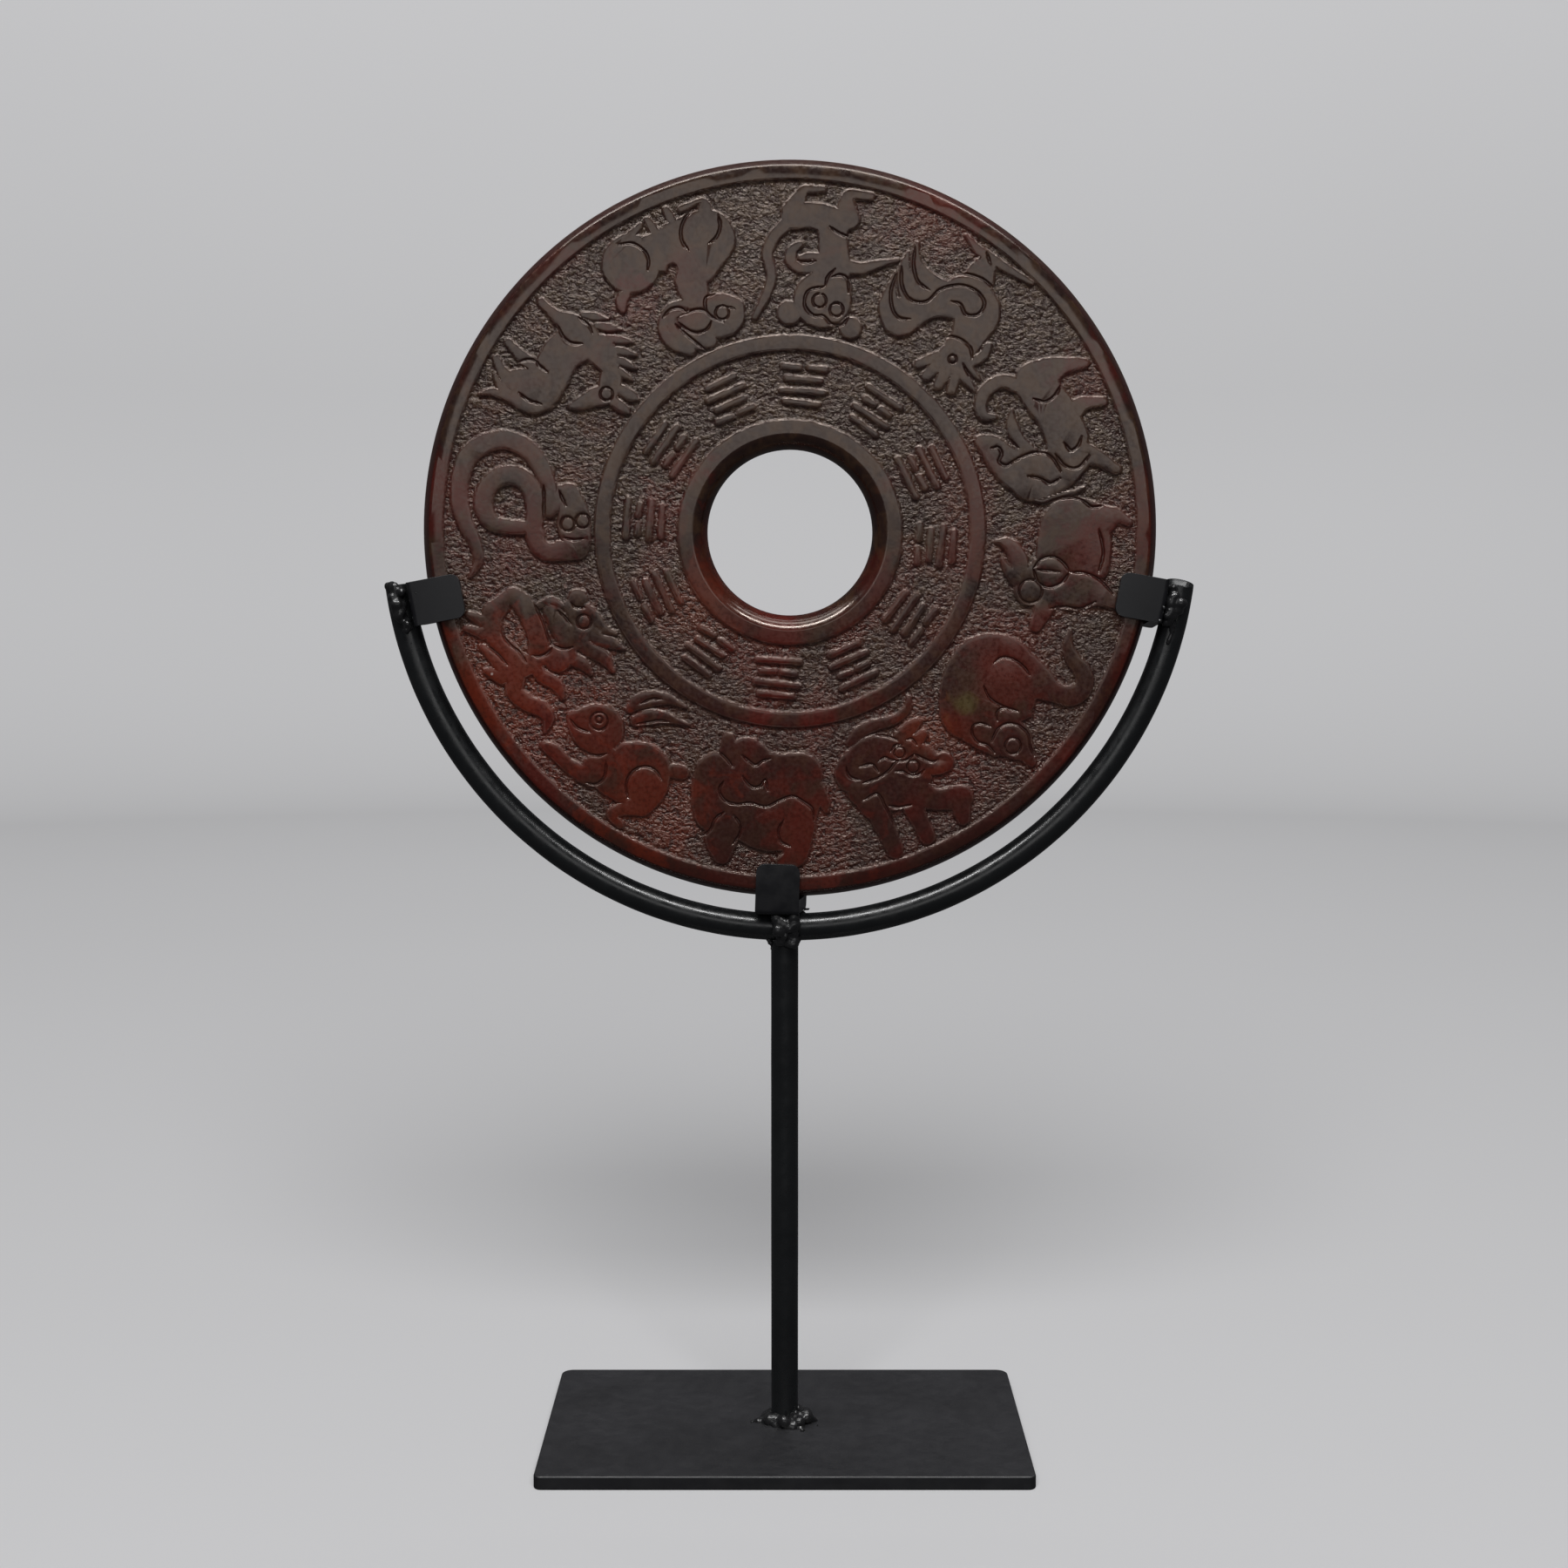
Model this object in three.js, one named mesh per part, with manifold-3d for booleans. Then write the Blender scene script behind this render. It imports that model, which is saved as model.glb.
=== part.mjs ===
// A carved stone bi disc standing upright in a welded steel cradle stand.
// Millimetres, +Z up. The carved face looks along -Y, and the floor is z = 0.

import * as THREE from "three";
import { mergeVertices } from "three/addons/utils/BufferGeometryUtils.js";
import Module from "manifold-3d";

const wasm = await Module();
wasm.setup();

// ---- driving dimensions ----

const gap = 0.3; // clearance left between neighbouring pieces

// The disc: a flat ring with two sunk bands on its face.
const discRadius = 105;
const discThickness = 11;
const borderOuter = 102.4; // the face ends here and the rim rolls back
const borderInner = 98.8;
const midRingOuter = 55.5;
const midRingInner = 51.3;
const eyeRingOuter = 31.9;
const eyeRingInner = 28.1; // the funnel of the hole starts here
const holeRadius = 23.6; // at its narrowest, half way through
const rimShoulder = { radius: 104.2, depth: 1.5 }; // where the rolled rim turns, below the face
const rimFlat = 1.6; // half height of the rim's outermost band
const funnelShoulder = { radius: 25.2, depth: 1.8 };
const reliefDepth = 0.9;
const discSegments = 56;

// The carving. Each figure is drawn in a frame of its own, with its feet on
// the border (-y) and its head towards the hole (+y), at this radius.
const figureRadius = 77;
const firstFigureAngle = 5; // degrees clockwise from the top
const figureCount = 12;
const figureInset = 0.02; // figure tops lie this far under the rings
const figureRoot = 0.4; // how deep a figure's solid reaches below its ground
const lineWidth = 0.9;
const lineDepth = 0.5;
const samplesPerSpan = 2;
const capSides = 8;
const blobSides = 20;
const eyeSides = 8;
const outlineTolerance = 0.35;
const smallestArea = 0.8;

// The inner band's worn inscription, as rows of plain strokes.
const markRadius = 41.6;
const markWidth = 13;
const markRows = 4;
const rowSpacing = 3.3;
const strokeWidth = 1.6;
const rowShortening = 0.09; // rows differ in length by steps of this share
const splitRow = { centre: 0.28, length: 0.44 }; // its two strokes, as shares of the row

// The stand: base plate, post, cradle arc and three clips.
const basePlate = { width: 140, depth: 88, thickness: 4, corner: 3, easing: 0.5 };
const barRadius = 3.95;
const standOffset = -1.35; // post and base sit a little left of the arc's centre
const discOffset = 0.15;
const discHeight = 265.5; // centre of the disc above the floor
const arcDrop = 1; // arc centre below disc centre
const arcRadius = 113.05; // centreline of the arc
const arcEndAngle = 7; // degrees below horizontal, both ends
const arcSides = 10;
const arcSteps = 30;
const postSides = 14;
const footWeld = { spread: 4.6, height: 5.6 }; // round the post's foot
const topWeld = { spread: 1.2, height: 3.4 }; // and under the arc
const clip = {
  width: 12.6,
  plate: 1.9, // thickness of the plates in front of and behind the disc
  reach: 10.1, // how far the plates overlap the disc's face
  corner: 2.6,
  bend: 1.2,
};
const clipAngles = { left: 79.3, bottom: 2, right: -79.6 }; // degrees from straight down, + is left

const faceY = discThickness / 2; // half thickness: the face is at y = -faceY
const groundY = faceY - reliefDepth;

// ---- materials ----

const stone = new THREE.MeshStandardMaterial({
  name: "stone", color: 0x5c2c24, roughness: 0.3, metalness: 0, flatShading: true,
});
const blackSteel = new THREE.MeshStandardMaterial({
  name: "black_steel", color: 0x202022, roughness: 0.45, metalness: 0.6, flatShading: true,
});

// ---- small geometry helpers ----

const radians = THREE.MathUtils.degToRad;
const xAxis = new THREE.Vector3(1, 0, 0);
const yAxis = new THREE.Vector3(0, 1, 0);
const zAxis = new THREE.Vector3(0, 0, 1);

function toSolid(geometry, matrix = new THREE.Matrix4()) {
  const bare = geometry.clone().applyMatrix4(matrix);
  bare.deleteAttribute("normal");
  bare.deleteAttribute("uv");
  const merged = mergeVertices(bare, 1e-4);
  return new wasm.Manifold(new wasm.Mesh({
    numProp: 3,
    vertProperties: new Float32Array(merged.attributes.position.array),
    triVerts: new Uint32Array(merged.index.array),
  }));
}

function toGeometry(solid) {
  const mesh = solid.getMesh();
  const geometry = new THREE.BufferGeometry();
  geometry.setAttribute("position", new THREE.BufferAttribute(mesh.vertProperties, 3));
  geometry.setIndex(new THREE.BufferAttribute(mesh.triVerts, 1));
  geometry.computeVertexNormals();
  return geometry;
}

function joined(solids) {
  return solids.reduce((whole, solid) => whole.add(solid));
}

function circle(x, y, radius, sides) {
  const points = [];
  for (let i = 0; i < sides; i += 1) {
    const turn = (2 * Math.PI * (i + 0.5)) / sides;
    points.push(new THREE.Vector2(x + radius * Math.cos(turn), y + radius * Math.sin(turn)));
  }
  return points;
}

// The convex outline around a few points, anticlockwise.
function hull(points) {
  const sorted = [...points].sort((a, b) => a.x - b.x || a.y - b.y);
  const turnsLeft = (a, b, c) => (b.x - a.x) * (c.y - a.y) - (b.y - a.y) * (c.x - a.x) > 1e-9;
  const chain = (list) => {
    const kept = [];
    for (const point of list) {
      while (kept.length > 1 && !turnsLeft(kept.at(-2), kept.at(-1), point)) kept.pop();
      kept.push(point);
    }
    return kept.slice(0, -1);
  };
  return [...chain(sorted), ...chain(sorted.reverse())];
}

// Upright block on one or more outlines. An outline may be a THREE.Shape with holes.
function prism(outline, low, high) {
  const shape = Array.isArray(outline) ? new THREE.Shape(outline) : outline;
  const block = new THREE.ExtrudeGeometry(shape, { depth: high - low, bevelEnabled: false });
  block.translate(0, 0, low);
  return toSolid(block);
}

// A smooth curve through [x, y, half width] points, as samples of the same kind.
function smooth(points) {
  const knots = points.map(([x, y, halfWidth]) => new THREE.Vector3(x, y, halfWidth));
  const curve = new THREE.CatmullRomCurve3(knots);
  return curve.getPoints(samplesPerSpan * (points.length - 1));
}

// A limb is a band whose half width swells and tapers along its curve, with
// round ends. One point alone is a round blob.
function limbOutlines(points) {
  if (points.length === 1) {
    const [x, y, radius] = points[0];
    return [circle(x, y, radius, blobSides)];
  }
  const samples = smooth(points);
  const sides = samples.map((here, i) => {
    const before = samples[Math.max(i - 1, 0)];
    const after = samples[Math.min(i + 1, samples.length - 1)];
    const across = new THREE.Vector2(before.y - after.y, after.x - before.x).normalize();
    const middle = new THREE.Vector2(here.x, here.y);
    return [
      middle.clone().addScaledVector(across, here.z),
      middle.clone().addScaledVector(across, -here.z),
    ];
  });
  const spans = sides.slice(1).map((pair, i) => hull([...sides[i], ...pair]));
  const ends = [points[0], points.at(-1)].map(([x, y, radius]) => circle(x, y, radius, capSides));
  return [...spans, ...ends];
}

// Drops the points of a closed outline that lie within a tolerance of the
// straight line between their neighbours.
function simplified(loop, tolerance) {
  const thin = (from, to) => {
    const [a, b] = [loop[from], loop[to % loop.length]];
    const along = new THREE.Vector2().subVectors(b, a);
    let worst = tolerance;
    let split = 0;
    for (let i = from + 1; i < to; i += 1) {
      const offset = new THREE.Vector2().subVectors(loop[i], a);
      const off = Math.abs(along.cross(offset)) / Math.max(along.length(), 1e-6);
      const distance = along.length() > 1e-6 ? off : offset.length();
      if (distance > worst) [worst, split] = [distance, i];
    }
    return split ? [...thin(from, split), ...thin(split, to)] : [a];
  };
  const half = Math.floor(loop.length / 2);
  return [...thin(0, half), ...thin(half, loop.length)];
}

// The closed outlines of the top of a solid of prisms, outer ones anticlockwise.
function topOutlines(solid, level) {
  const { vertProperties: place, triVerts: corners } = solid.getMesh();
  const isTop = (v) => place[3 * v + 2] > level - 1e-3;
  const edges = new Map();
  for (let i = 0; i < corners.length; i += 3) {
    const triangle = corners.slice(i, i + 3);
    if (!triangle.every(isTop)) continue;
    triangle.forEach((from, k) => {
      const to = triangle[(k + 1) % 3];
      edges.set(`${from},${to}`, [from, to]);
    });
  }
  const next = new Map();
  for (const [from, to] of edges.values()) {
    if (!edges.has(`${to},${from}`)) next.set(from, to);
  }
  const loops = [];
  while (next.size) {
    const loop = [];
    let [at] = next.keys();
    while (next.has(at)) {
      loop.push(new THREE.Vector2(place[3 * at], place[3 * at + 1]));
      const to = next.get(at);
      next.delete(at);
      at = to;
    }
    loops.push(loop);
  }
  return loops;
}

// Joins outlines into shapes with holes, and leaves out what is too small to carve.
function mergedShapes(added, removed) {
  let solid = joined(added.map((outline) => prism(outline, 0, 1)));
  for (const outline of removed) solid = solid.subtract(prism(outline, -1, 2));
  const loops = topOutlines(solid, 1)
    .map((loop) => simplified(loop, outlineTolerance))
    .filter((loop) => Math.abs(THREE.ShapeUtils.area(loop)) > smallestArea);
  const turnsLeft = (loop) => THREE.ShapeUtils.area(loop) > 0;
  const shapes = loops.filter(turnsLeft).map((loop) => new THREE.Shape(loop));
  for (const hole of loops.filter((loop) => !turnsLeft(loop))) {
    const owner = shapes.find((shape) => isInside(hole[0], shape.getPoints()));
    if (owner) owner.holes.push(new THREE.Path(hole));
  }
  return shapes;
}

function isInside(point, outline) {
  let inside = false;
  outline.forEach((a, i) => {
    const b = outline[(i + 1) % outline.length];
    const crosses = (a.y > point.y) !== (b.y > point.y);
    if (crosses && point.x < a.x + ((b.x - a.x) * (point.y - a.y)) / (b.y - a.y)) inside = !inside;
  });
  return inside;
}

// An incised line is a band of one width, pointed at both ends.
function lineShape(points) {
  const last = points.length - 1;
  const banded = points.map(([x, y], i) => [x, y, i % last ? lineWidth / 2 : lineWidth / 5]);
  return mergedShapes(limbOutlines(banded).slice(0, -2), []);
}

// The frame of a figure: x to its right, y towards the hole, z out of the face.
function figureFrame(angle, radius) {
  const turn = radians(angle);
  const right = new THREE.Vector3(-Math.cos(turn), 0, Math.sin(turn));
  const inward = new THREE.Vector3(-Math.sin(turn), 0, -Math.cos(turn));
  const frame = new THREE.Matrix4().makeBasis(right, inward, new THREE.Vector3(0, -1, 0));
  return frame.setPosition(radius * Math.sin(turn), 0, radius * Math.cos(turn));
}

// ---- the twelve animals, clockwise from the top ----
// limbs: [x, y, half width] along each limb. dips: the same, for ground that
// shows through. lines: incised lines, [x, y] along each. eyes: [x, y, radius]
// of sunk round eyes.

const figures = {
  monkey: {
    limbs: {
      head: [[-3.4, 11, 8]],
      muzzle: [[-7.6, 7.6, 3.6]],
      leftEar: [[-12, 18.3, 3]],
      rightEar: [[5.6, 15.6, 3.3]],
      torso: [[-5.8, 2, 5], [-5.2, -4, 4], [-4.5, -9.5, 4.2]],
      leftArm: [[-8, 1.2, 2.2], [-13.2, 1.6, 1.6], [-18, 0, 1.1], [-23.3, -1.6, 0.4]],
      rightArm: [[-2, 1.4, 2], [3, 2.9, 1.5], [6.2, 1.2, 1.6], [6.4, -1.6, 1.4], [4.4, -3.6, 0.9]],
      hand: [[-1.2, -0.8, 1], [1.5, -0.5, 1.1], [3.6, 0.2, 0.9]],
      hips: [[-5.5, -10.5, 4], [1, -12, 3.6], [6.8, -11, 3.4]],
      leftLeg: [[-8.6, -12, 3.2], [-7.8, -15.8, 2.2], [-8.2, -18.4, 1.5], [-14.4, -18.6, 1.1]],
      rightLeg: [[7.2, -12.5, 3], [5.6, -16.5, 1.9], [4.2, -18.8, 1.3], [-0.8, -19.3, 0.9]],
      tail: [[8.2, -9.4, 2], [11.6, -5.4, 1.5], [13.2, -0.5, 1.5], [11.6, 5, 1.4], [12, 9.4, 1.3],
        [15.2, 17.6, 0.7]],
    },
    lines: {
      brow: [[-11.1, 15.4], [-9.4, 17.8], [-6.4, 17.6], [-4, 15.7], [-1.2, 15.8], [1.4, 13.2],
        [0.9, 9.2], [-3.6, 7.5]],
      haunch: [[-12, -9.2], [-9.8, -7], [-6.4, -7.6], [-3.6, -9.2]],
    },
    eyes: [[-7.6, 13.6, 1.9], [-2.6, 11.5, 1.9]],
  },
  rooster: {
    limbs: {
      head: [[-9.9, 10.6, 4.6]],
      upperBeak: [[-13.5, 12.2, 1.9], [-17.4, 13.5, 1.1], [-20.4, 14.5, 0.3]],
      lowerBeak: [[-13.5, 9.8, 1.6], [-17, 10.4, 0.8], [-19.2, 11, 0.3]],
      comb: [[-13.2, 14.4, 1.5], [-14.4, 18, 1.3]],
      combMiddle: [[-10.2, 15, 2], [-10.6, 19, 1.4]],
      combBack: [[-7, 14.6, 2], [-6.4, 18.8, 1.4]],
      combTip: [[-5.8, 12.6, 1.5], [-2.6, 17.4, 1.2]],
      wattle: [[-14.6, 8.6, 1.3], [-16.2, 5, 1.4], [-15.8, 2, 1]],
      breast: [[-9.9, 8, 4.4], [-9.4, 2, 4.8], [-7.2, -4.2, 6.8], [-2, -5, 6]],
      saddle: [[-2, -3.4, 5], [3.4, 0, 4.6], [7, 5, 4.6], [9, 9.6, 5.2]],
      plumeTop: [[9.6, 10, 4.9], [13.6, 8.4, 3], [16.2, 3.6, 1.1], [17.3, 0.4, 0.4]],
      plumeMiddle: [[6, 3, 3.2], [11, 2.4, 3.1], [15.6, -1.6, 1.7], [17.7, -6.2, 0.5]],
      plumeLow: [[4, -3.2, 3], [9.6, -2.8, 2.9], [14.6, -5.6, 1.7], [17.2, -10, 0.4]],
      thigh: [[-3.4, -10.5, 4.4], [-2.4, -14, 3.6], [-2.6, -17.5, 2.4]],
      frontToes: [[-3.4, -18.4, 1.5], [-9, -18.8, 1.1], [-15.6, -19.4, 0.6]],
      backToes: [[-2, -18.4, 1.4], [2.4, -18.4, 1.3], [7, -19.6, 0.4]],
    },
    lines: {
      wing: [[0, -2.2], [-2.6, -3], [-5.6, -1.6], [-8.4, -3.6], [-8, -7.2], [-4.4, -8.6],
        [0.6, -7.2], [4.4, -3], [5.6, 1.8], [9.4, 4], [13.6, 2.4], [17, -2]],
      plumeUpper: [[6.6, 8.5], [9, 10], [12, 9.2], [15.4, 5.4], [17, 0.6]],
      thigh: [[-8, -12], [-4, -12.3], [0.4, -11], [3.6, -9.2]],
    },
    eyes: [[-9.7, 10.7, 1.1]],
  },
  dog: {
    limbs: {
      brow: [[-12, 11.5, 5], [-7, 13.6, 4.4], [-2, 15.2, 3.2], [0.4, 17, 1.7]],
      jaw: [[-9, 6.4, 2.8], [-4, 7.4, 1.9], [1, 7.2, 1.5], [4.6, 5.6, 0.4]],
      neck: [[-15.5, 8.5, 6], [-16, 2, 6.2], [-14.5, -4.5, 5.4]],
      shoulder: [[-14, -3, 5.4], [-8.5, -5.5, 5.6]],
      trunk: [[-9, -5.5, 6], [-2, -5.6, 5.8], [4, -4.4, 5.8], [9, -3.6, 5.8]],
      tail: [[10.5, 1, 2.2], [13.2, 4.8, 1.9], [12.9, 9.6, 1.8], [10, 12.9, 1.7], [6.6, 13.3, 1.3],
        [5, 10.8, 0.6]],
      frontLeg: [[-15, -8, 3.2], [-18.6, -11.6, 2], [-23, -14.4, 1.4]],
      middleLeg: [[-3, -10, 2.8], [-2.2, -13.4, 2], [-4, -18.8, 1.3]],
      hindLeg: [[10, -7, 4.4], [10, -12, 2.6], [8, -18.6, 1.3]],
    },
    lines: {
      cheek: [[-8.6, 11], [-8.6, 6.4], [-9.6, 3], [-12, 0.8], [-17, 0]],
      shoulder: [[-12, -0.6], [-15.8, -1.6], [-18, -4.6], [-16.2, -9.2]],
      rump: [[5, -1.4], [2.8, -4], [3.2, -7.2], [5, -9.8]],
    },
    eyes: [],
  },
  pig: {
    limbs: {
      trunk: [[-3, -3, 9], [3, -2.6, 9.2], [7.8, -3, 9.2]],
      head: [[-7, 3, 6.6], [-10.4, 7.6, 4.2]],
      snout: [[-12, 2, 3.2], [-16.6, 3.4, 2.4], [-20.4, 4.8, 1.6]],
      farEar: [[-6, 10.5, 2.4], [-1, 11.8, 2.4], [2.2, 15, 1.7], [2.6, 18.2, 0.4]],
      nearEar: [[-8, 11, 1.8], [-5.6, 13.8, 1.3], [-2.4, 16.2, 0.4]],
      foreleg: [[-10, -4, 5], [-9.2, -10, 4.2], [-10.6, -14.6, 2.5], [-12, -18, 1.5]],
      rump: [[11, -4, 6], [11, -10, 4.6], [12.6, -15.2, 2], [11.4, -18.6, 1.2]],
      belly: [[-3, -12, 2.2], [4, -12.4, 2], [10, -11, 2]],
      tail: [[15.4, 9.8, 0.4], [15.4, 6, 0.7], [16.9, 1.6, 0.9], [18.2, -2, 0.7], [20, -5.2, 0.3]],
    },
    lines: {
      leafLeft: [[-4.2, 7], [-8.2, 5], [-9, 1.6], [-7.4, -1.4], [-4.2, -3.4]],
      leafRight: [[-4.2, 7], [-1.2, 4.8], [-0.4, 1.6], [-1.8, -1.4], [-4.2, -3.4]],
      foreleg: [[-4.2, -3.6], [-4.2, -8], [-5.6, -12], [-9.4, -16.4]],
    },
    eyes: [[-10.6, 7.2, 3.3]],
  },
  rat: {
    limbs: {
      back: [[-12, 5.8, 8.4], [-6, 8, 9.8], [0, 7.6, 11], [1.4, 5, 10.8]],
      tail: [[3.6, 1, 8], [5.6, -5, 5], [6.2, -11, 2.9], [8, -15.6, 2.9], [11.6, -17.2, 2.5],
        [15.4, -14.8, 2.3], [17, -10, 2], [19.4, -6.4, 1.3], [23, -4.6, 0.4]],
      head: [[-12, -2.5, 6.6], [-12, -9.6, 5], [-12.8, -14, 2.6], [-14, -17.4, 1.2]],
      cheek: [[-16.5, 1, 3.6], [-17.4, -7.2, 1.4]],
      haunch: [[0.4, -1, 6], [-1, -5, 3.6]],
      paw: [[-6, -5.4, 2.2], [-3.4, -8.6, 1]],
    },
    lines: {
      haunchFront: [[-4, 6.5], [-5.8, 3], [-5.6, -1.2], [-4.2, -5.8]],
      haunchBack: [[3, 8], [5.6, 7], [7.2, 3.4], [7, 0], [6.2, -2.4]],
      face: [[-15.6, -4.6], [-12, -3.9], [-9, -5.2], [-7.4, -8.4], [-8, -12], [-10.4, -14.4],
        [-12, -17]],
    },
    eyes: [[-13.2, -10.3, 2.3]],
  },
  ox: {
    limbs: {
      horn: [[-9.6, 15.2, 1.1], [-6.4, 16.8, 1.7], [-1, 16.9, 1.6], [5, 16, 1.3], [9, 17.2, 1],
        [11, 20, 0.5]],
      hump: [[-11.6, 6.8, 6.2], [-5, 8.4, 6.4], [0, 7.2, 4.8]],
      head: [[2, 6.4, 4.2], [6.4, 3.6, 3.8], [9.6, -0.8, 2.9], [12.2, -1.2, 2.8]],
      ear: [[4, 10.4, 2.2], [7.4, 11.8, 2], [10.6, 12.6, 1]],
      farEar: [[7, 7.6, 2.2], [10.4, 8.8, 1.2]],
      shoulder: [[-12.4, 1, 4.2], [-6, 0.6, 4.2], [0, 0, 4.6], [4, -1.6, 3.8]],
      trunk: [[-5, -3.4, 4.6], [0.4, -4.6, 4.4], [5.4, -9.6, 3], [12.6, -12.4, 3.4]],
      chest: [[-13.6, 0, 2.4], [-13, -5.8, 1.4]],
      foreleg: [[-10.8, -3, 3.4], [-10.8, -10, 2.9], [-11, -18.6, 2.2]],
      middleLeg: [[-0.8, -8, 3], [-1, -13, 2.4], [-0.9, -18.6, 2.2]],
      hindLeg: [[12, -12.6, 3.2], [10.6, -18.4, 1.8]],
    },
    lines: {
      neck: [[-11.2, 3.3], [-7, 2.8], [-3, 3.4], [0, 4.8], [3, 4], [5.6, 4.7]],
      jaw: [[-1.4, 2.4], [0.6, 1.4], [2, -0.4], [4, -1.2], [6.2, -0.7]],
      chest: [[-13.2, -1.3], [-8.8, -1.3], [-8.2, -6], [-7.9, -12.6]],
    },
    eyes: [[2, 6.8, 1.8]],
  },
  tiger: {
    limbs: {
      mane: [[-14.6, 6, 6.6], [-15.4, 0, 6.2], [-15, -5, 5.4]],
      ear: [[-11.6, 12.5, 3], [-12.4, 16.8, 1.7]],
      head: [[-6.6, 11.6, 6], [-2.6, 9.8, 4.6]],
      back: [[-2, 8, 6], [4, 8, 5.8], [8.6, 8, 6.6]],
      rump: [[10, 3, 5.6], [9.4, -3, 5.4], [9.2, -9, 4.8]],
      side: [[-9, 3, 5.6], [0, 2, 5], [6, 2.4, 5]],
      trunk: [[-8, -4, 6.4], [0, -7, 7.2], [5, -7, 7]],
      foreleg: [[-12, -7, 5.4], [-12, -13, 4.2], [-11.6, -17, 2.2]],
      hindLeg: [[9.4, -11, 4.6], [9.4, -15.4, 3], [6, -17.2, 1.7]],
      tail: [[13.4, 4.6, 2.8], [16.4, 1.2, 1.6], [17.4, -1.4, 0.6]],
    },
    lines: {
      nose: [[-7.4, 6.6], [-5.8, 4.6], [-4, 3.6], [-2.2, 4.2], [-0.9, 6], [0.2, 3]],
      stripe: [[-12.8, 4.6], [-13.8, 2], [-12, -0.8], [-9, -1.7], [-4.6, -1], [0, -1.6], [3.6, 0.4],
        [7.2, 2], [10.4, 0.8], [13.4, -1.2], [14, -4.6]],
      foreleg: [[-12, -4.3], [-14.4, -6.6], [-15.4, -9.6], [-18, -11.8], [-21, -12.7]],
    },
    eyes: [],
  },
  rabbit: {
    limbs: {
      head: [[-13, -0.6, 7.4], [-17.2, -1.6, 4.4], [-20.6, -1.7, 1.6]],
      farEar: [[-8.6, 9.6, 1.1], [-7.6, 12.8, 2.1], [-4.4, 16.2, 2.1], [0, 18.4, 1.1],
        [4, 19, 0.3]],
      nearEar: [[-5.4, 7.6, 1.5], [-3, 10.6, 2.1], [0.4, 13, 1.8], [4, 14.4, 0.9],
        [7.6, 15.4, 0.3]],
      trunk: [[0.6, -3.4, 6.4], [4.2, -3, 7.8], [6, -5, 7.4]],
      chest: [[-5.4, -6.6, 4.4], [-7, -11, 4], [-6.4, -13.4, 2.4]],
      foreleg: [[-8, -13.4, 2.6], [-14, -14, 1.9], [-20, -13, 1.9], [-22.8, -13.3, 1.2]],
      belly: [[-2, -10, 5], [3, -10.5, 4]],
      haunch: [[9, -6.4, 4.8], [9.4, -11, 3.6]],
      hindLeg: [[9, -12, 2.8], [6, -15.4, 1.9], [4.4, -18.4, 1.5], [8, -19.6, 1]],
      tail: [[11.6, 2, 2], [13.8, 3, 2]],
    },
    lines: {
      mouth: [[-21, -2.7], [-18, -3.5], [-14.2, -2.5]],
      haunch: [[10.4, -2], [8, -0.9], [5, -1.2], [2.6, -3.4], [2, -6.6], [3.2, -9.6], [5.4, -11.8]],
    },
    eyes: [[-14, 1.6, 2.5]],
  },
  dragon: {
    limbs: {
      nostril: [[-8.4, 14.1, 2.8]],
      snout: [[-7.4, 11.4, 2], [-3.4, 12.4, 3.4], [0.6, 11.4, 3.6]],
      horn: [[-5, 15.2, 1.5], [-1.4, 16.4, 1.6], [2.2, 17, 1.4], [5, 19.6, 0.4]],
      lockTop: [[0.4, 13.6, 2.2], [4.4, 14.6, 1.9], [6.8, 17.2, 1.6], [10, 20, 0.4]],
      lockMiddle: [[2, 9.4, 2.2], [6, 11, 2], [9.4, 13.6, 1.8], [14.4, 14.4, 0.4]],
      lockLow: [[2, 5.4, 2.4], [6, 5.6, 1.8], [8.8, 7.6, 1.7], [12.4, 8.4, 0.4]],
      lip: [[-11.4, 3, 0.8], [-11.3, 7, 1.1], [-8.6, 9, 0.9]],
      mouth: [[-8.2, 6, 2.4], [-3.4, 6.6, 3.2], [1.4, 7.4, 3.4]],
      cheek: [[4.4, 1.8, 4]],
      jaw: [[-17, -2.2, 2.4], [-14.6, -0.9, 2.7], [-9, -0.3, 2.8], [-2.6, -0.9, 2.9],
        [0.6, -3.4, 2.2]],
      coil: [[-17.4, -4.4, 1.8], [-15.2, -9.3, 3.2]],
      throat: [[1.8, -1, 2.6], [2.6, -6, 2.6], [2.8, -10, 2.8]],
      lockBack: [[3.4, -5.2, 1.9], [7.2, -4.4, 1.8], [11, -1.8, 1.7], [15.4, -1.9, 0.4]],
      trunk: [[-13, -11, 3], [-8, -12, 2.4], [-2.4, -10, 2.6], [3, -10.8, 2.8], [7.8, -13.6, 2.4],
        [12, -11.8, 2.4], [15.4, -8.8, 2.1], [18.6, -8, 1.6], [22, -10.8, 0.4]],
      foreClaw: [[-14, -13, 2], [-17.6, -15.9, 0.9]],
      middleClaw: [[-11, -14.4, 1.8], [-14.4, -18.4, 0.8]],
      hindLeg: [[2, -13, 2.6], [-2.4, -14.4, 1.8], [-7.2, -16.2, 1]],
      hindClaw: [[2.4, -15, 2.2], [-1, -18.4, 0.9]],
    },
    dips: {
      throat: [[-11.2, -5, 0.9], [-7.4, -6, 1.8], [-2.6, -5.6, 1.1]],
    },
    lines: {
      chin: [[-12.2, 2.4], [-6, 2.3], [-0.6, 1.8], [1.6, 3.1], [2.9, 5], [3.2, 7]],
      belly: [[-10.4, -8.9], [-7.6, -9.6], [-4.6, -8.8], [-1.8, -7.4], [1.4, -6.9]],
    },
    eyes: [[-1.9, 13, 2]],
  },
  snake: {
    limbs: {
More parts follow.
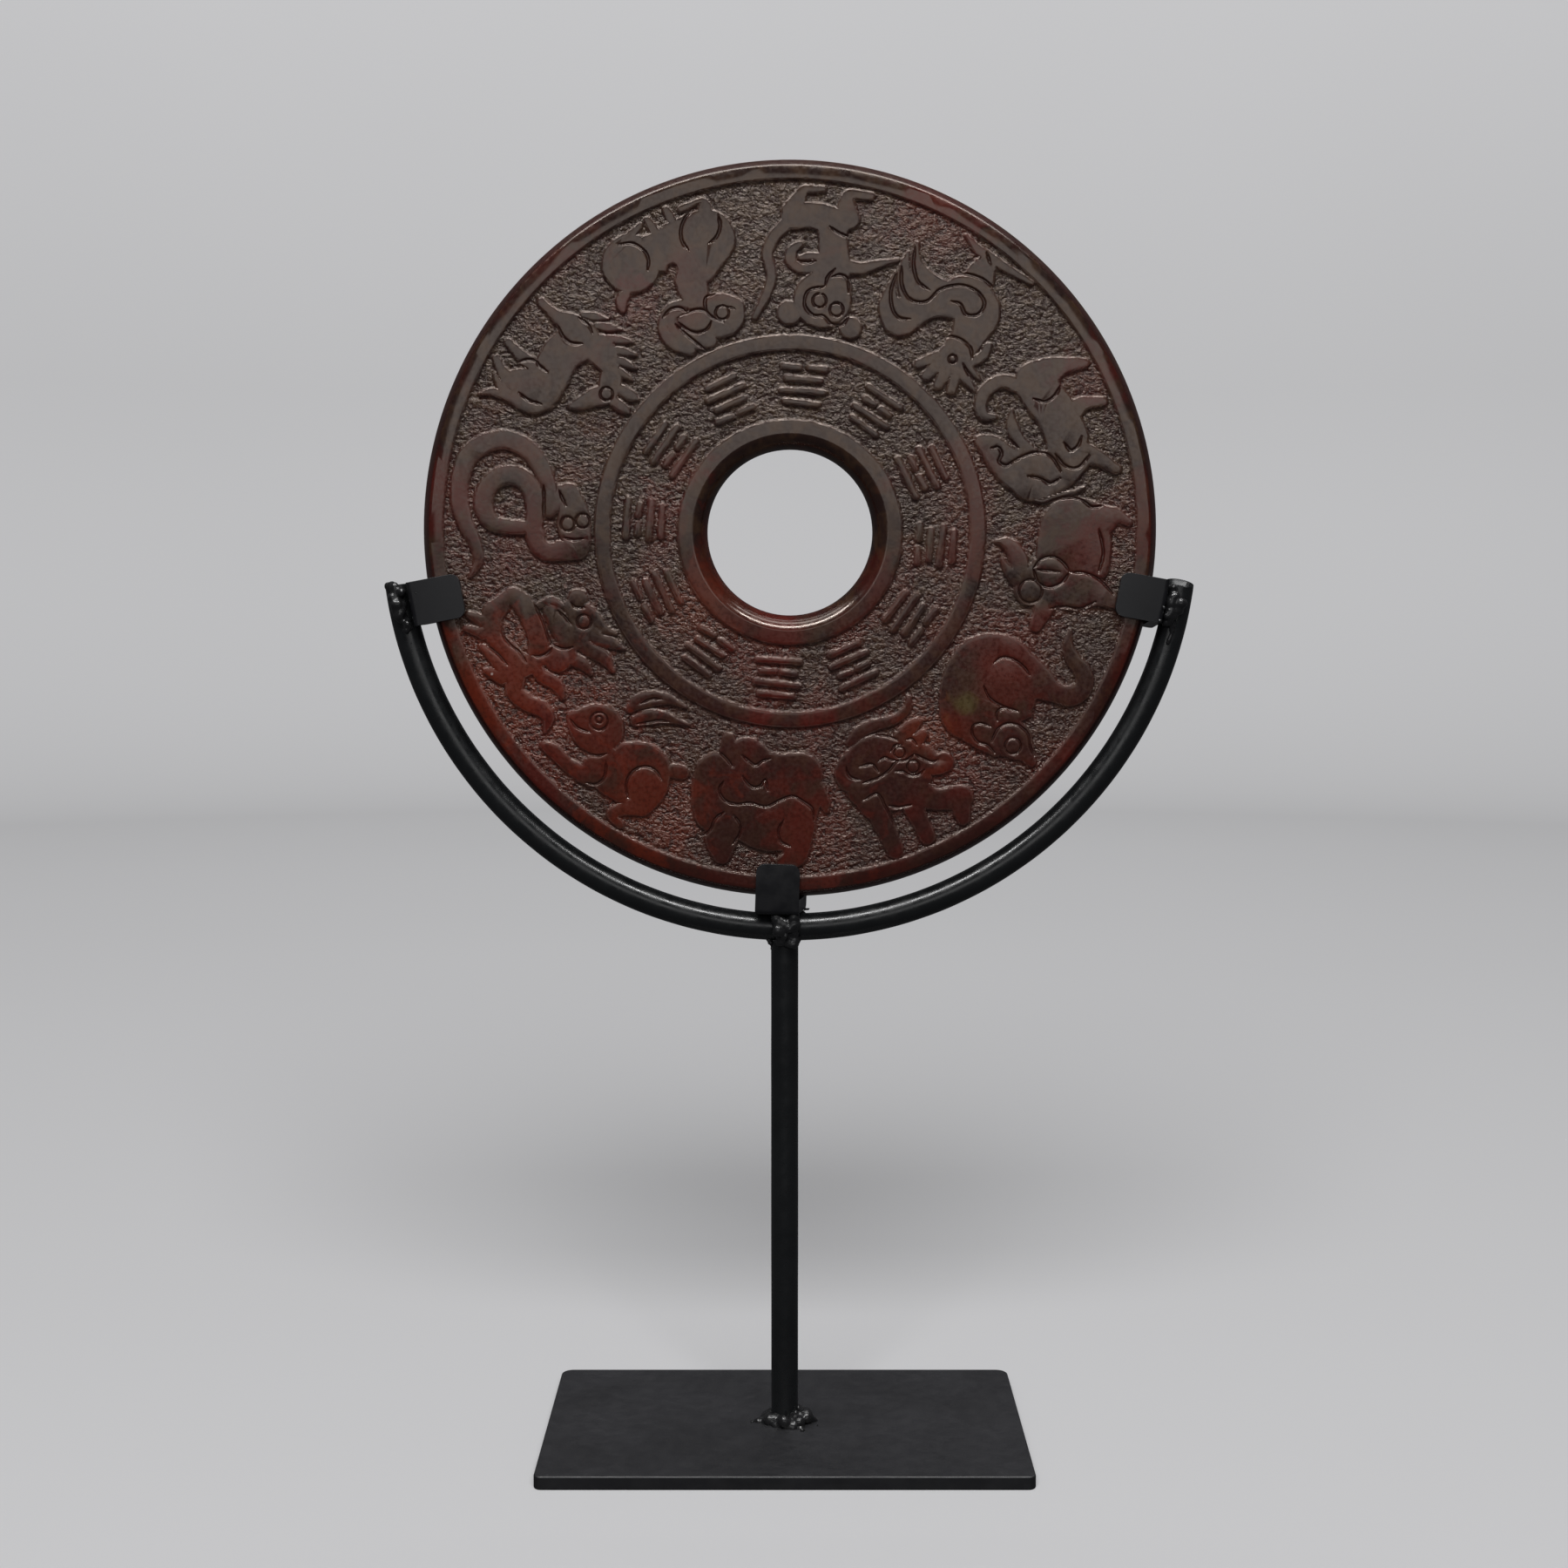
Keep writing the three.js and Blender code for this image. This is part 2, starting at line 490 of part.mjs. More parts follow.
      coil: [[0, 8.4, 1.8], [-6, 7.8, 2], [-12, 5.2, 2.4], [-16.8, 0.8, 2.6], [-19, -5, 2.7],
        [-17.6, -11, 2.7], [-13.4, -15.8, 2.8], [-7, -17.5, 2.6], [0, -17.2, 2.4], [6, -14.8, 2.1],
        [11, -12, 1.7], [16, -10.8, 1.3], [20.4, -12.8, 0.4]],
      innerCoil: [[10, 17, 3], [11, 12, 2.8], [10.4, 7.4, 3.2], [6, 4.5, 2.5], [0, 4.4, 2.6],
        [-5.6, 2.8, 2.7], [-9, -1.2, 2.7], [-8.6, -6.2, 2.7], [-5, -9.8, 2.7], [0.4, -10.4, 2.6],
        [4.6, -7.6, 2.3], [5.4, -3, 2.1], [5.3, 0.8, 2]],
      head: [[-5.6, 13.4, 2.8], [-1, 15, 4], [4, 15.8, 4.6], [8, 17.2, 3.4]],
      jaw: [[-6.4, 10.9, 1.2], [-1, 9.8, 1.6]],
    },
    dips: {
      throat: [[5, 8.8, 1.3], [7.2, 9.4, 1.9]],
    },
    lines: {
      mouth: [[-6, 10.7], [-4, 11.7], [-2, 12.9]],
      coil: [[-7, 6.1], [-2.6, 6.6], [2.6, 6.9]],
    },
    eyes: [[1.9, 18, 2], [3.1, 13.8, 2]],
  },
  horse: {
    limbs: {
      neck: [[-11.2, 3.6, 4.4], [-9.6, 8, 3]],
      head: [[-6.6, 10.6, 3], [-2.6, 12, 3], [1, 9.6, 2.6], [4.4, 7.6, 1.8], [6.4, 5.8, 0.8]],
      ear: [[-5.4, 14.6, 1.4], [-5.6, 17.6, 1.6], [-6, 20.2, 0.4]],
      farEar: [[-1.6, 14.6, 1.4], [-1.4, 17.6, 1.5], [-1.4, 20.2, 0.4]],
      trunk: [[-10, -3, 6], [-4, -4.6, 5.3], [3, -4, 5.5], [7, -4, 5.8]],
      haunch: [[8.4, -6.6, 5.3], [9.6, -11, 3.2]],
      foreleg: [[-12.2, -7, 3.4], [-12, -12, 1.7], [-12.8, -17.4, 1.2]],
      middleLeg: [[3, -9, 2], [2.9, -14, 1.6], [1.8, -18.8, 1.1]],
      hindLeg: [[10.6, -12, 2.4], [9.4, -16, 1.4], [7.6, -19.2, 1]],
      tail: [[10, 0, 1.6], [13.2, -2.8, 1.7], [14, -8, 1.6], [13.4, -13, 1.3], [11.6, -17, 0.4]],
      tailTip: [[14.2, -9, 1.3], [15.8, -14.4, 1.1], [18.4, -17.4, 0.4]],
    },
    mane: {
      roots: [[-9.4, 8.8], [-11.5, 8], [-13.5, 6.4], [-15.2, 3.6], [-16.3, -1], [-16.6, -5.8]],
      length: 6.9, width: 1.1, lean: 26,
    },
    lines: {
      shoulder: [[-9.8, -1.4], [-8, -4.4], [-8.3, -7.2], [-10, -10.2]],
      flank: [[2.4, -5], [2.3, -8], [1.8, -9.6], [3, -11.8], [4.8, -13.2]],
    },
    eyes: [[-2.1, 12.1, 1.8]],
  },
  goat: {
    limbs: {
      chest: [[-13.4, -7.6, 8.1], [-6, -8.2, 8]],
      breast: [[-15.6, -3.6, 3.6], [-8.6, -0.2, 3.8]],
      trunk: [[-6, -8.4, 7.6], [1, -10.2, 5.4], [4, -10.6, 5.2]],
      rump: [[8.8, -10.2, 8.2]],
      neck: [[-5.6, -2.4, 5], [-4.2, 3, 4.2], [-3.6, 8.4, 3]],
      head: [[-12, 13.4, 3.2], [-8, 13.8, 6], [-4.6, 13, 4.4]],
      jaw: [[-10, 10.4, 2.6], [-7.4, 9.4, 2.4]],
      ear: [[-3.6, 12, 2.2], [-0.6, 12, 3.2], [2.4, 11, 1.8]],
      horn: [[-2, 18.4, 2.2], [1.6, 17, 2.2], [4.4, 14, 2], [5.6, 10.8, 1.7], [4.4, 8, 1.4],
        [1.2, 8, 0.7]],
      farHorn: [[4, 18.4, 1.7], [7, 15.6, 1.6], [8.4, 11.6, 1.5], [7.2, 7.8, 1.3], [3.4, 5.6, 1.2],
        [-0.4, 6.4, 1.4]],
      tail: [[13, -3.6, 1.1], [15.6, -2, 1.6], [16.4, 0.6, 0.6]],
      forefoot: [[-16.4, -15, 2], [-17, -17.3, 0.9], [-10.4, -18, 0.9]],
      kneeling: [[-6.8, -15.4, 1.3], [-6.6, -19.6, 0.9]],
      middleFoot: [[-1.2, -14.6, 1.6], [-0.6, -19.2, 1]],
      hindFoot: [[8, -16, 2.4], [5, -17.4, 1.2], [1.6, -19, 0.5]],
    },
    dips: {
      loin: [[1.8, -0.6, 1.5], [-1.2, -4, 1.5]],
    },
    lines: {
      shoulderBack: [[-7.5, -6.6], [-6.9, -9.6], [-8, -12.8], [-10.8, -15.4], [-15.2, -17]],
      haunch: [[5.3, -6.6], [3.9, -9], [3.9, -11.6], [6, -15], [9.6, -16.4]],
      ear: [[-5, 13.8], [-3, 15.3], [0, 15.2], [2.4, 13], [3.6, 10.4]],
    },
    eyes: [[-8.7, 13, 1.9]],
  },
};

// The horse's mane is a fan of loose locks down the back of its neck.
function maneLocks({ roots, length, width, lean }) {
  return roots.map(([x, y], i) => {
    const tilt = radians(lean * Math.min(1, (2 * i) / (roots.length - 1)));
    const at = (along, radius) => [
      x - along * length * Math.sin(tilt), y + along * length * Math.cos(tilt), radius,
    ];
    return [at(0, 0.8 * width), at(0.5, width), at(1, 0.2 * width)]; // fullest half way along
  });
}

function figureSolid(figure) {
  const top = faceY - figureInset;
  const limbs = Object.values(figure.limbs);
  if (figure.mane) limbs.push(...maneLocks(figure.mane));
  const dips = Object.values(figure.dips ?? {});
  const raised = mergedShapes(limbs.flatMap(limbOutlines), dips.flatMap(limbOutlines));
  const eyes = figure.eyes.map(([x, y, radius]) => circle(x, y, radius, eyeSides));
  const incised = [...Object.values(figure.lines).flatMap(lineShape), ...eyes];
  let solid = joined(raised.map((shape) => prism(shape, groundY - figureRoot, top)));
  for (const shape of incised) {
    solid = solid.subtract(prism(shape, faceY - lineDepth, faceY + 1));
  }
  return solid;
}

// One place of the inscription: rows of strokes, one of them split in two,
// their lengths a little different from one place to the next.
function markSolid(place) {
  const top = faceY - figureInset;
  const bars = [];
  for (let row = 0; row < markRows; row += 1) {
    const y = (row - (markRows - 1) / 2) * rowSpacing;
    const width = markWidth * (1 - rowShortening * ((place + 2 * row) % markRows));
    if (row === place % markRows) {
      for (const side of [-1, 1]) bars.push([side * splitRow.centre * width, y, splitRow.length * width]);
    } else {
      bars.push([0, y, width]);
    }
  }
  return joined(bars.map(([x, y, length]) => {
    const bar = new THREE.BoxGeometry(length, strokeWidth, top - groundY + figureRoot);
    bar.translate(x, y, (top + groundY - figureRoot) / 2);
    return toSolid(bar);
  }));
}

function disc() {
  const rimShoulderY = faceY - rimShoulder.depth;
  const funnelShoulderY = faceY - funnelShoulder.depth;
  const profile = [
    [borderOuter, -faceY], [rimShoulder.radius, -rimShoulderY],
    [discRadius, -rimFlat], [discRadius, rimFlat],
    [rimShoulder.radius, rimShoulderY], [borderOuter, faceY],
    [eyeRingInner, faceY], [funnelShoulder.radius, funnelShoulderY], [holeRadius, 0],
    [funnelShoulder.radius, -funnelShoulderY], [eyeRingInner, -faceY],
    [eyeRingOuter, -faceY], [eyeRingOuter, -groundY],
    [midRingInner, -groundY], [midRingInner, -faceY],
    [midRingOuter, -faceY], [midRingOuter, -groundY],
    [borderInner, -groundY], [borderInner, -faceY], [borderOuter, -faceY],
  ].map(([radius, y]) => new THREE.Vector2(radius, y));
  let solid = toSolid(new THREE.LatheGeometry(profile, discSegments));
  Object.values(figures).forEach((figure, i) => {
    const angle = firstFigureAngle + (360 / figureCount) * i;
    const carved = figureSolid(figure).transform(figureFrame(angle, figureRadius).elements);
    const mark = markSolid(i).transform(figureFrame(angle, markRadius).elements);
    solid = solid.add(carved).add(mark);
  });
  return solid;
}

// ---- the stand ----

function basePlateGeometry() {
  const { width, depth, thickness, corner, easing } = basePlate;
  const [x, y] = [width / 2 - corner, depth / 2 - corner];
  const outline = new THREE.Shape();
  outline.absarc(x, y, corner, 0, Math.PI / 2);
  outline.absarc(-x, y, corner, Math.PI / 2, Math.PI);
  outline.absarc(-x, -y, corner, Math.PI, 1.5 * Math.PI);
  outline.absarc(x, -y, corner, 1.5 * Math.PI, 2 * Math.PI);
  const plate = new THREE.ExtrudeGeometry(outline, {
    depth: thickness - 2 * easing,
    bevelThickness: easing,
    bevelSize: easing,
    bevelOffset: -easing,
    bevelSegments: 1,
    curveSegments: 3,
  });
  return plate.translate(0, 0, easing);
}

// A plain round bar from the base to the arc, its welds spreading at both ends.
function postGeometry(height) {
  const foot = [0, 0.3, 0.7, 1].map((share) => [
    barRadius + footWeld.spread * (1 - share) ** 2, footWeld.height * share,
  ]);
  const profile = [
    [0, 0], ...foot,
    [barRadius, height - topWeld.height],
    [barRadius + topWeld.spread, height - topWeld.height / 3],
    [barRadius + topWeld.spread * 0.7, height], [0, height],
  ].map(([radius, y]) => new THREE.Vector2(radius, y));
  return new THREE.LatheGeometry(profile, postSides).rotateX(Math.PI / 2);
}

class CradlePath extends THREE.Curve {
  getPoint(t) {
    const turn = radians(180 + arcEndAngle + t * (180 - 2 * arcEndAngle));
    return new THREE.Vector3(arcRadius * Math.cos(turn), 0, arcRadius * Math.sin(turn));
  }
}

function cradleGeometry() {
  const section = new THREE.Shape(circle(0, 0, barRadius, arcSides));
  return new THREE.ExtrudeGeometry(section, { steps: arcSteps, extrudePath: new CradlePath() });
}

// How far the arc's inner side lies from the disc's centre, straight across a clip.
function arcReach(angle) {
  const outward = new THREE.Vector2(-Math.sin(radians(angle)), -Math.cos(radians(angle)));
  const along = outward.dot(new THREE.Vector2(-discOffset, -arcDrop));
  const reach = Math.sqrt((arcRadius - barRadius) ** 2 - (clip.width / 2) ** 2);
  return reach + along;
}

// A strip bent into a U around the disc's edge. It hangs below the disc's
// centre, and its mesh is turned about that centre.
function clipGeometry(angle) {
  const inside = faceY + gap;
  const outside = inside + clip.plate;
  const tip = clip.reach - discRadius;
  const seat = -discRadius - gap;
  const heel = gap - arcReach(angle);
  const profile = [
    [outside, tip], [inside, tip], [inside, seat], [-inside, seat], [-inside, tip], [-outside, tip],
    [-outside, heel + clip.bend], [-outside + clip.bend, heel],
    [outside - clip.bend, heel], [outside, heel + clip.bend],
  ].map(([y, z]) => new THREE.Vector2(y, z));
  const strip = prism(profile, -clip.width / 2, clip.width / 2)
    .transform(new THREE.Matrix4().makeBasis(yAxis, zAxis, xAxis).elements);

  const side = clip.width / 2;
  const face = new THREE.Shape();
  face.moveTo(-side, heel);
  face.lineTo(side, heel);
  face.absarc(side - clip.corner, tip - clip.corner, clip.corner, 0, Math.PI / 2);
  face.absarc(clip.corner - side, tip - clip.corner, clip.corner, Math.PI / 2, Math.PI);
  const through = prism(new THREE.Shape(face.getPoints(2)), -2 * outside, 2 * outside)
    .transform(new THREE.Matrix4().makeBasis(xAxis, zAxis, yAxis.clone().negate()).elements);
  return toGeometry(strip.intersect(through));
}

// ---- the whole object ----

const group = new THREE.Group();

function addPiece(name, geometry, material, x, z) {
  const mesh = new THREE.Mesh(geometry, material);
  mesh.name = name;
  mesh.position.set(x, 0, z);
  group.add(mesh);
  return mesh;
}

const arcHeight = discHeight - arcDrop;
const postFoot = basePlate.thickness + gap;
const postTop = arcHeight - arcRadius - barRadius - gap;

addPiece("disc", toGeometry(disc()), stone, discOffset, discHeight);
addPiece("base_plate", basePlateGeometry(), blackSteel, standOffset, 0);
addPiece("post", postGeometry(postTop - postFoot), blackSteel, standOffset, postFoot);
addPiece("cradle_arc", cradleGeometry(), blackSteel, 0, arcHeight);
for (const [side, angle] of Object.entries(clipAngles)) {
  const piece = addPiece(`clip_${side}`, clipGeometry(angle), blackSteel, discOffset, discHeight);
  piece.rotation.y = radians(angle);
}

export default group;
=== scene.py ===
# A carved stone bi disc standing in its welded cradle stand.
# Sizes in the dictionaries are millimetres, as a maker would write them down.
# The carved face looks along -Y, +Z is up, the floor is z = 0.
import math

import bmesh
import bpy
import numpy as np
from mathutils import Matrix, Vector


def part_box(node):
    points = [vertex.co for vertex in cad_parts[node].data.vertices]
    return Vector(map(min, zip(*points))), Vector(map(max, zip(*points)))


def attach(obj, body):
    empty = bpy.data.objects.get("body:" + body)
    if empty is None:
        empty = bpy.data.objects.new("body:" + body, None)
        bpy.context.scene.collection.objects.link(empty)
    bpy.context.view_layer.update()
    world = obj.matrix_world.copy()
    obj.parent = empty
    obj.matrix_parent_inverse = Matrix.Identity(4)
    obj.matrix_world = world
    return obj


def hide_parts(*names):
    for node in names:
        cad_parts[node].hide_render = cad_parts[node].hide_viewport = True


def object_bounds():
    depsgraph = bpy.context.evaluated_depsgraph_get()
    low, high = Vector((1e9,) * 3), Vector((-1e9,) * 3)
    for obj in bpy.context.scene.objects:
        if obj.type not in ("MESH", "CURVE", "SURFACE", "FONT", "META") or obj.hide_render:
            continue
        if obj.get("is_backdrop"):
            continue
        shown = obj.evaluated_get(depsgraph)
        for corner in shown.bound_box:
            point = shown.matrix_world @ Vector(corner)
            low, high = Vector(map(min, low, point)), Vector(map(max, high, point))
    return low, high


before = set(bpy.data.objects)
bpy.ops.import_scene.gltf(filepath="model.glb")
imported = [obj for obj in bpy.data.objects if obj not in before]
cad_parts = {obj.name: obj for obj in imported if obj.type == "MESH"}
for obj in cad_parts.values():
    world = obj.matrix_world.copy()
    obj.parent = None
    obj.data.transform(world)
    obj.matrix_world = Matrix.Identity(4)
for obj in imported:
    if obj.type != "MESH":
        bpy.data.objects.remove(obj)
cadBox = [list(corner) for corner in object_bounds()]
scene = bpy.context.scene
mm = 0.001


def middleOf(node):
    low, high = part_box(node)
    return (low + high) / 2


discCentre = middleOf("disc")
standX = middleOf("post").x
print("frame loaded")


# small helpers used all through

def smoothStep(low, high, value):
    share = np.clip((value - low) / (high - low), 0, 1)
    return share * share * (3 - 2 * share)


def latticeNoise(x, y, size, seed):
    # soft random heights, -1 to 1, with lumps about as wide as size
    table = np.random.default_rng(seed).uniform(-1, 1, (256, 256))
    column, row = np.floor(x / size).astype(int), np.floor(y / size).astype(int)
    across, along = smoothStep(0, 1, x / size - column), smoothStep(0, 1, y / size - row)
    corner = lambda i, j: table[(column + i) % 256, (row + j) % 256]
    near = corner(0, 0) * (1 - across) + corner(1, 0) * across
    far = corner(0, 1) * (1 - across) + corner(1, 1) * across
    return near * (1 - along) + far * along


def meshFromArrays(name, points, faces):
    # points in metres, faces all with the same number of corners
    points, faces = np.asarray(points, float), np.asarray(faces, int)
    mesh = bpy.data.meshes.new(name)
    mesh.vertices.add(len(points))
    mesh.vertices.foreach_set("co", points.ravel())
    mesh.loops.add(faces.size)
    mesh.loops.foreach_set("vertex_index", faces.ravel())
    mesh.polygons.add(len(faces))
    mesh.polygons.foreach_set("loop_start", np.arange(0, faces.size, faces.shape[1]))
    mesh.update(calc_edges=True)
    mesh.validate()
    return mesh


def addObject(name, mesh):
    piece = bpy.data.objects.new(name, mesh)
    scene.collection.objects.link(piece)
    return piece


def bakeModifiers(piece):
    # the evaluated mesh takes the place of the old one, and the modifiers go
    bpy.context.view_layer.update()
    graph = bpy.context.evaluated_depsgraph_get()
    made = bpy.data.meshes.new_from_object(piece.evaluated_get(graph), depsgraph=graph)
    piece.modifiers.clear()
    piece.data = made
    return piece


def finishPiece(piece, paint, replaces=()):
    piece.data.materials.clear()
    piece.data.materials.append(paint)
    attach(piece, "root")
    if replaces:
        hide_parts(*replaces)


# camera, floor and light

cameraSet = {"lens": 53.02, "sensor": 36, "distance": 666.1, "aside": -1.7, "rise": -14.4,
             "pitch": 4.967, "near": 10}

camera = bpy.data.cameras.new("camera")
camera.lens = cameraSet["lens"]
camera.sensor_width = cameraSet["sensor"]
camera.clip_start = cameraSet["near"] * mm
cameraObject = bpy.data.objects.new("camera", camera)
cameraObject.location = (discCentre.x + cameraSet["aside"] * mm, -cameraSet["distance"] * mm,
                         discCentre.z + cameraSet["rise"] * mm)
cameraObject.rotation_euler = (math.radians(90 - cameraSet["pitch"]), 0, 0)
scene.collection.objects.link(cameraObject)
scene.camera = cameraObject

# A bowl of pale paper: floor, sweep and wall in one, all the way round.
paperSet = {"flat": 1900, "sweep": 500, "wall": 2300, "inner": (400, 1200), "sides": 128, "bends": 13,
            "tone": (0.62, 0.62, 0.63), "rough": 0.9, "glow": 0.3, "grain": 400, "grainTone": 0.96}


def paperBowl():
    s = paperSet
    curve = np.radians(np.linspace(0, 90, s["bends"]))
    radii = np.concatenate([s["inner"], s["flat"] + s["sweep"] * np.sin(curve), [s["flat"] + s["sweep"]]])
    heights = np.concatenate([[0, 0], s["sweep"] * (1 - np.cos(curve)), [s["wall"]]])
    turn = np.linspace(0, 2 * np.pi, s["sides"], endpoint=False)
    rings = [np.column_stack([r * np.cos(turn), r * np.sin(turn), np.full(s["sides"], h)])
             for r, h in zip(radii, heights)]
    points = np.vstack([[[0, 0, 0]], *rings]) * mm
    faces = [(0, 1 + i, 1 + (i + 1) % s["sides"]) for i in range(s["sides"])]
    for k in range(len(rings) - 1):
        inner, outer = 1 + k * s["sides"], 1 + (k + 1) * s["sides"]
        for i in range(s["sides"]):
            j = (i + 1) % s["sides"]
            faces += [(inner + i, outer + i, outer + j), (inner + i, outer + j, inner + j)]
    bowl = addObject("paper_bowl", meshFromArrays("paper_bowl", points, faces))
    bowl.data.shade_smooth()
    # only the camera sees the paper: gloss and shade come from the lights and the room
    bowl.visible_glossy = False
    bowl.visible_diffuse = False
    bowl.visible_shadow = False
    bowl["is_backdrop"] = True
    return bowl


# Soft boxes: place, the point they face, width and height (mm), and power in watts.
# "gloss" is False for a lamp that only shades, "shade" for one that only glints;
# "paper" lights nothing but the paper.
lightSet = {
    "key": {"at": (-150, -1000, 1300), "to": (0, 0, 240), "size": (1500, 650), "power": 8.5,
            "gloss": False},
    "strip": {"at": (-60, -620, 1180), "to": (0, 0, 240), "size": (1300, 110), "power": 17,
              "shade": False},
    "overhead": {"at": (0, 20, 1300), "to": (0, 20, 0), "size": (1500, 420), "power": 11},
    "lowFill": {"at": (0, -1800, 560), "to": (0, 0, 300), "size": (1700, 520), "power": 3.6},
    "backFill": {"at": (300, 1400, 1000), "to": (0, 0, 250), "size": (1600, 900), "power": 16,
                 "gloss": False},
    "paperWash": {"at": (0, -2250, 2050), "to": (0, 500, 0), "size": (2100, 1400), "power": 80,
                  "paper": True},
    "backdrop": {"at": (0, 900, 1900), "to": (0, 2300, 1000), "size": (2200, 500), "power": 11,
                 "paper": True},
}


def softBox(name, place, paper):
    lamp = bpy.data.lights.new(name, "AREA")
    lamp.shape = "RECTANGLE"
    lamp.size, lamp.size_y = (side * mm for side in place["size"])
    lamp.energy = place["power"]
    box = bpy.data.objects.new(name, lamp)
    start, target = Vector(place["at"]) * mm, Vector(place["to"]) * mm
    box.location = start
    box.rotation_euler = (target - start).to_track_quat("-Z", "Y").to_euler()
    box.visible_glossy = place.get("gloss", True)
    box.visible_diffuse = place.get("shade", True)
    scene.collection.objects.link(box)
    # the paper has lamps of its own, and the others leave it out
    linked = bpy.data.collections.new(name + "Lights")
    linked.objects.link(paper)
    linked.collection_objects[0].light_linking.link_state = "INCLUDE" if place.get("paper") else "EXCLUDE"
    box.light_linking.receiver_collection = linked


paper = paperBowl()
for lampName, lampPlace in lightSet.items():
    softBox(lampName, lampPlace, paper)

# The room is dim all round.
roomSet = {"tone": (0.055, 0.055, 0.058), "strength": 1.0}

room = bpy.data.worlds.new("room")
room.use_nodes = True
room.node_tree.nodes["Background"].inputs["Color"].default_value = (*roomSet["tone"], 1)
room.node_tree.nodes["Background"].inputs["Strength"].default_value = roomSet["strength"]
scene.world = room
scene.view_settings.view_transform = "Standard"
print("camera, paper and light set")
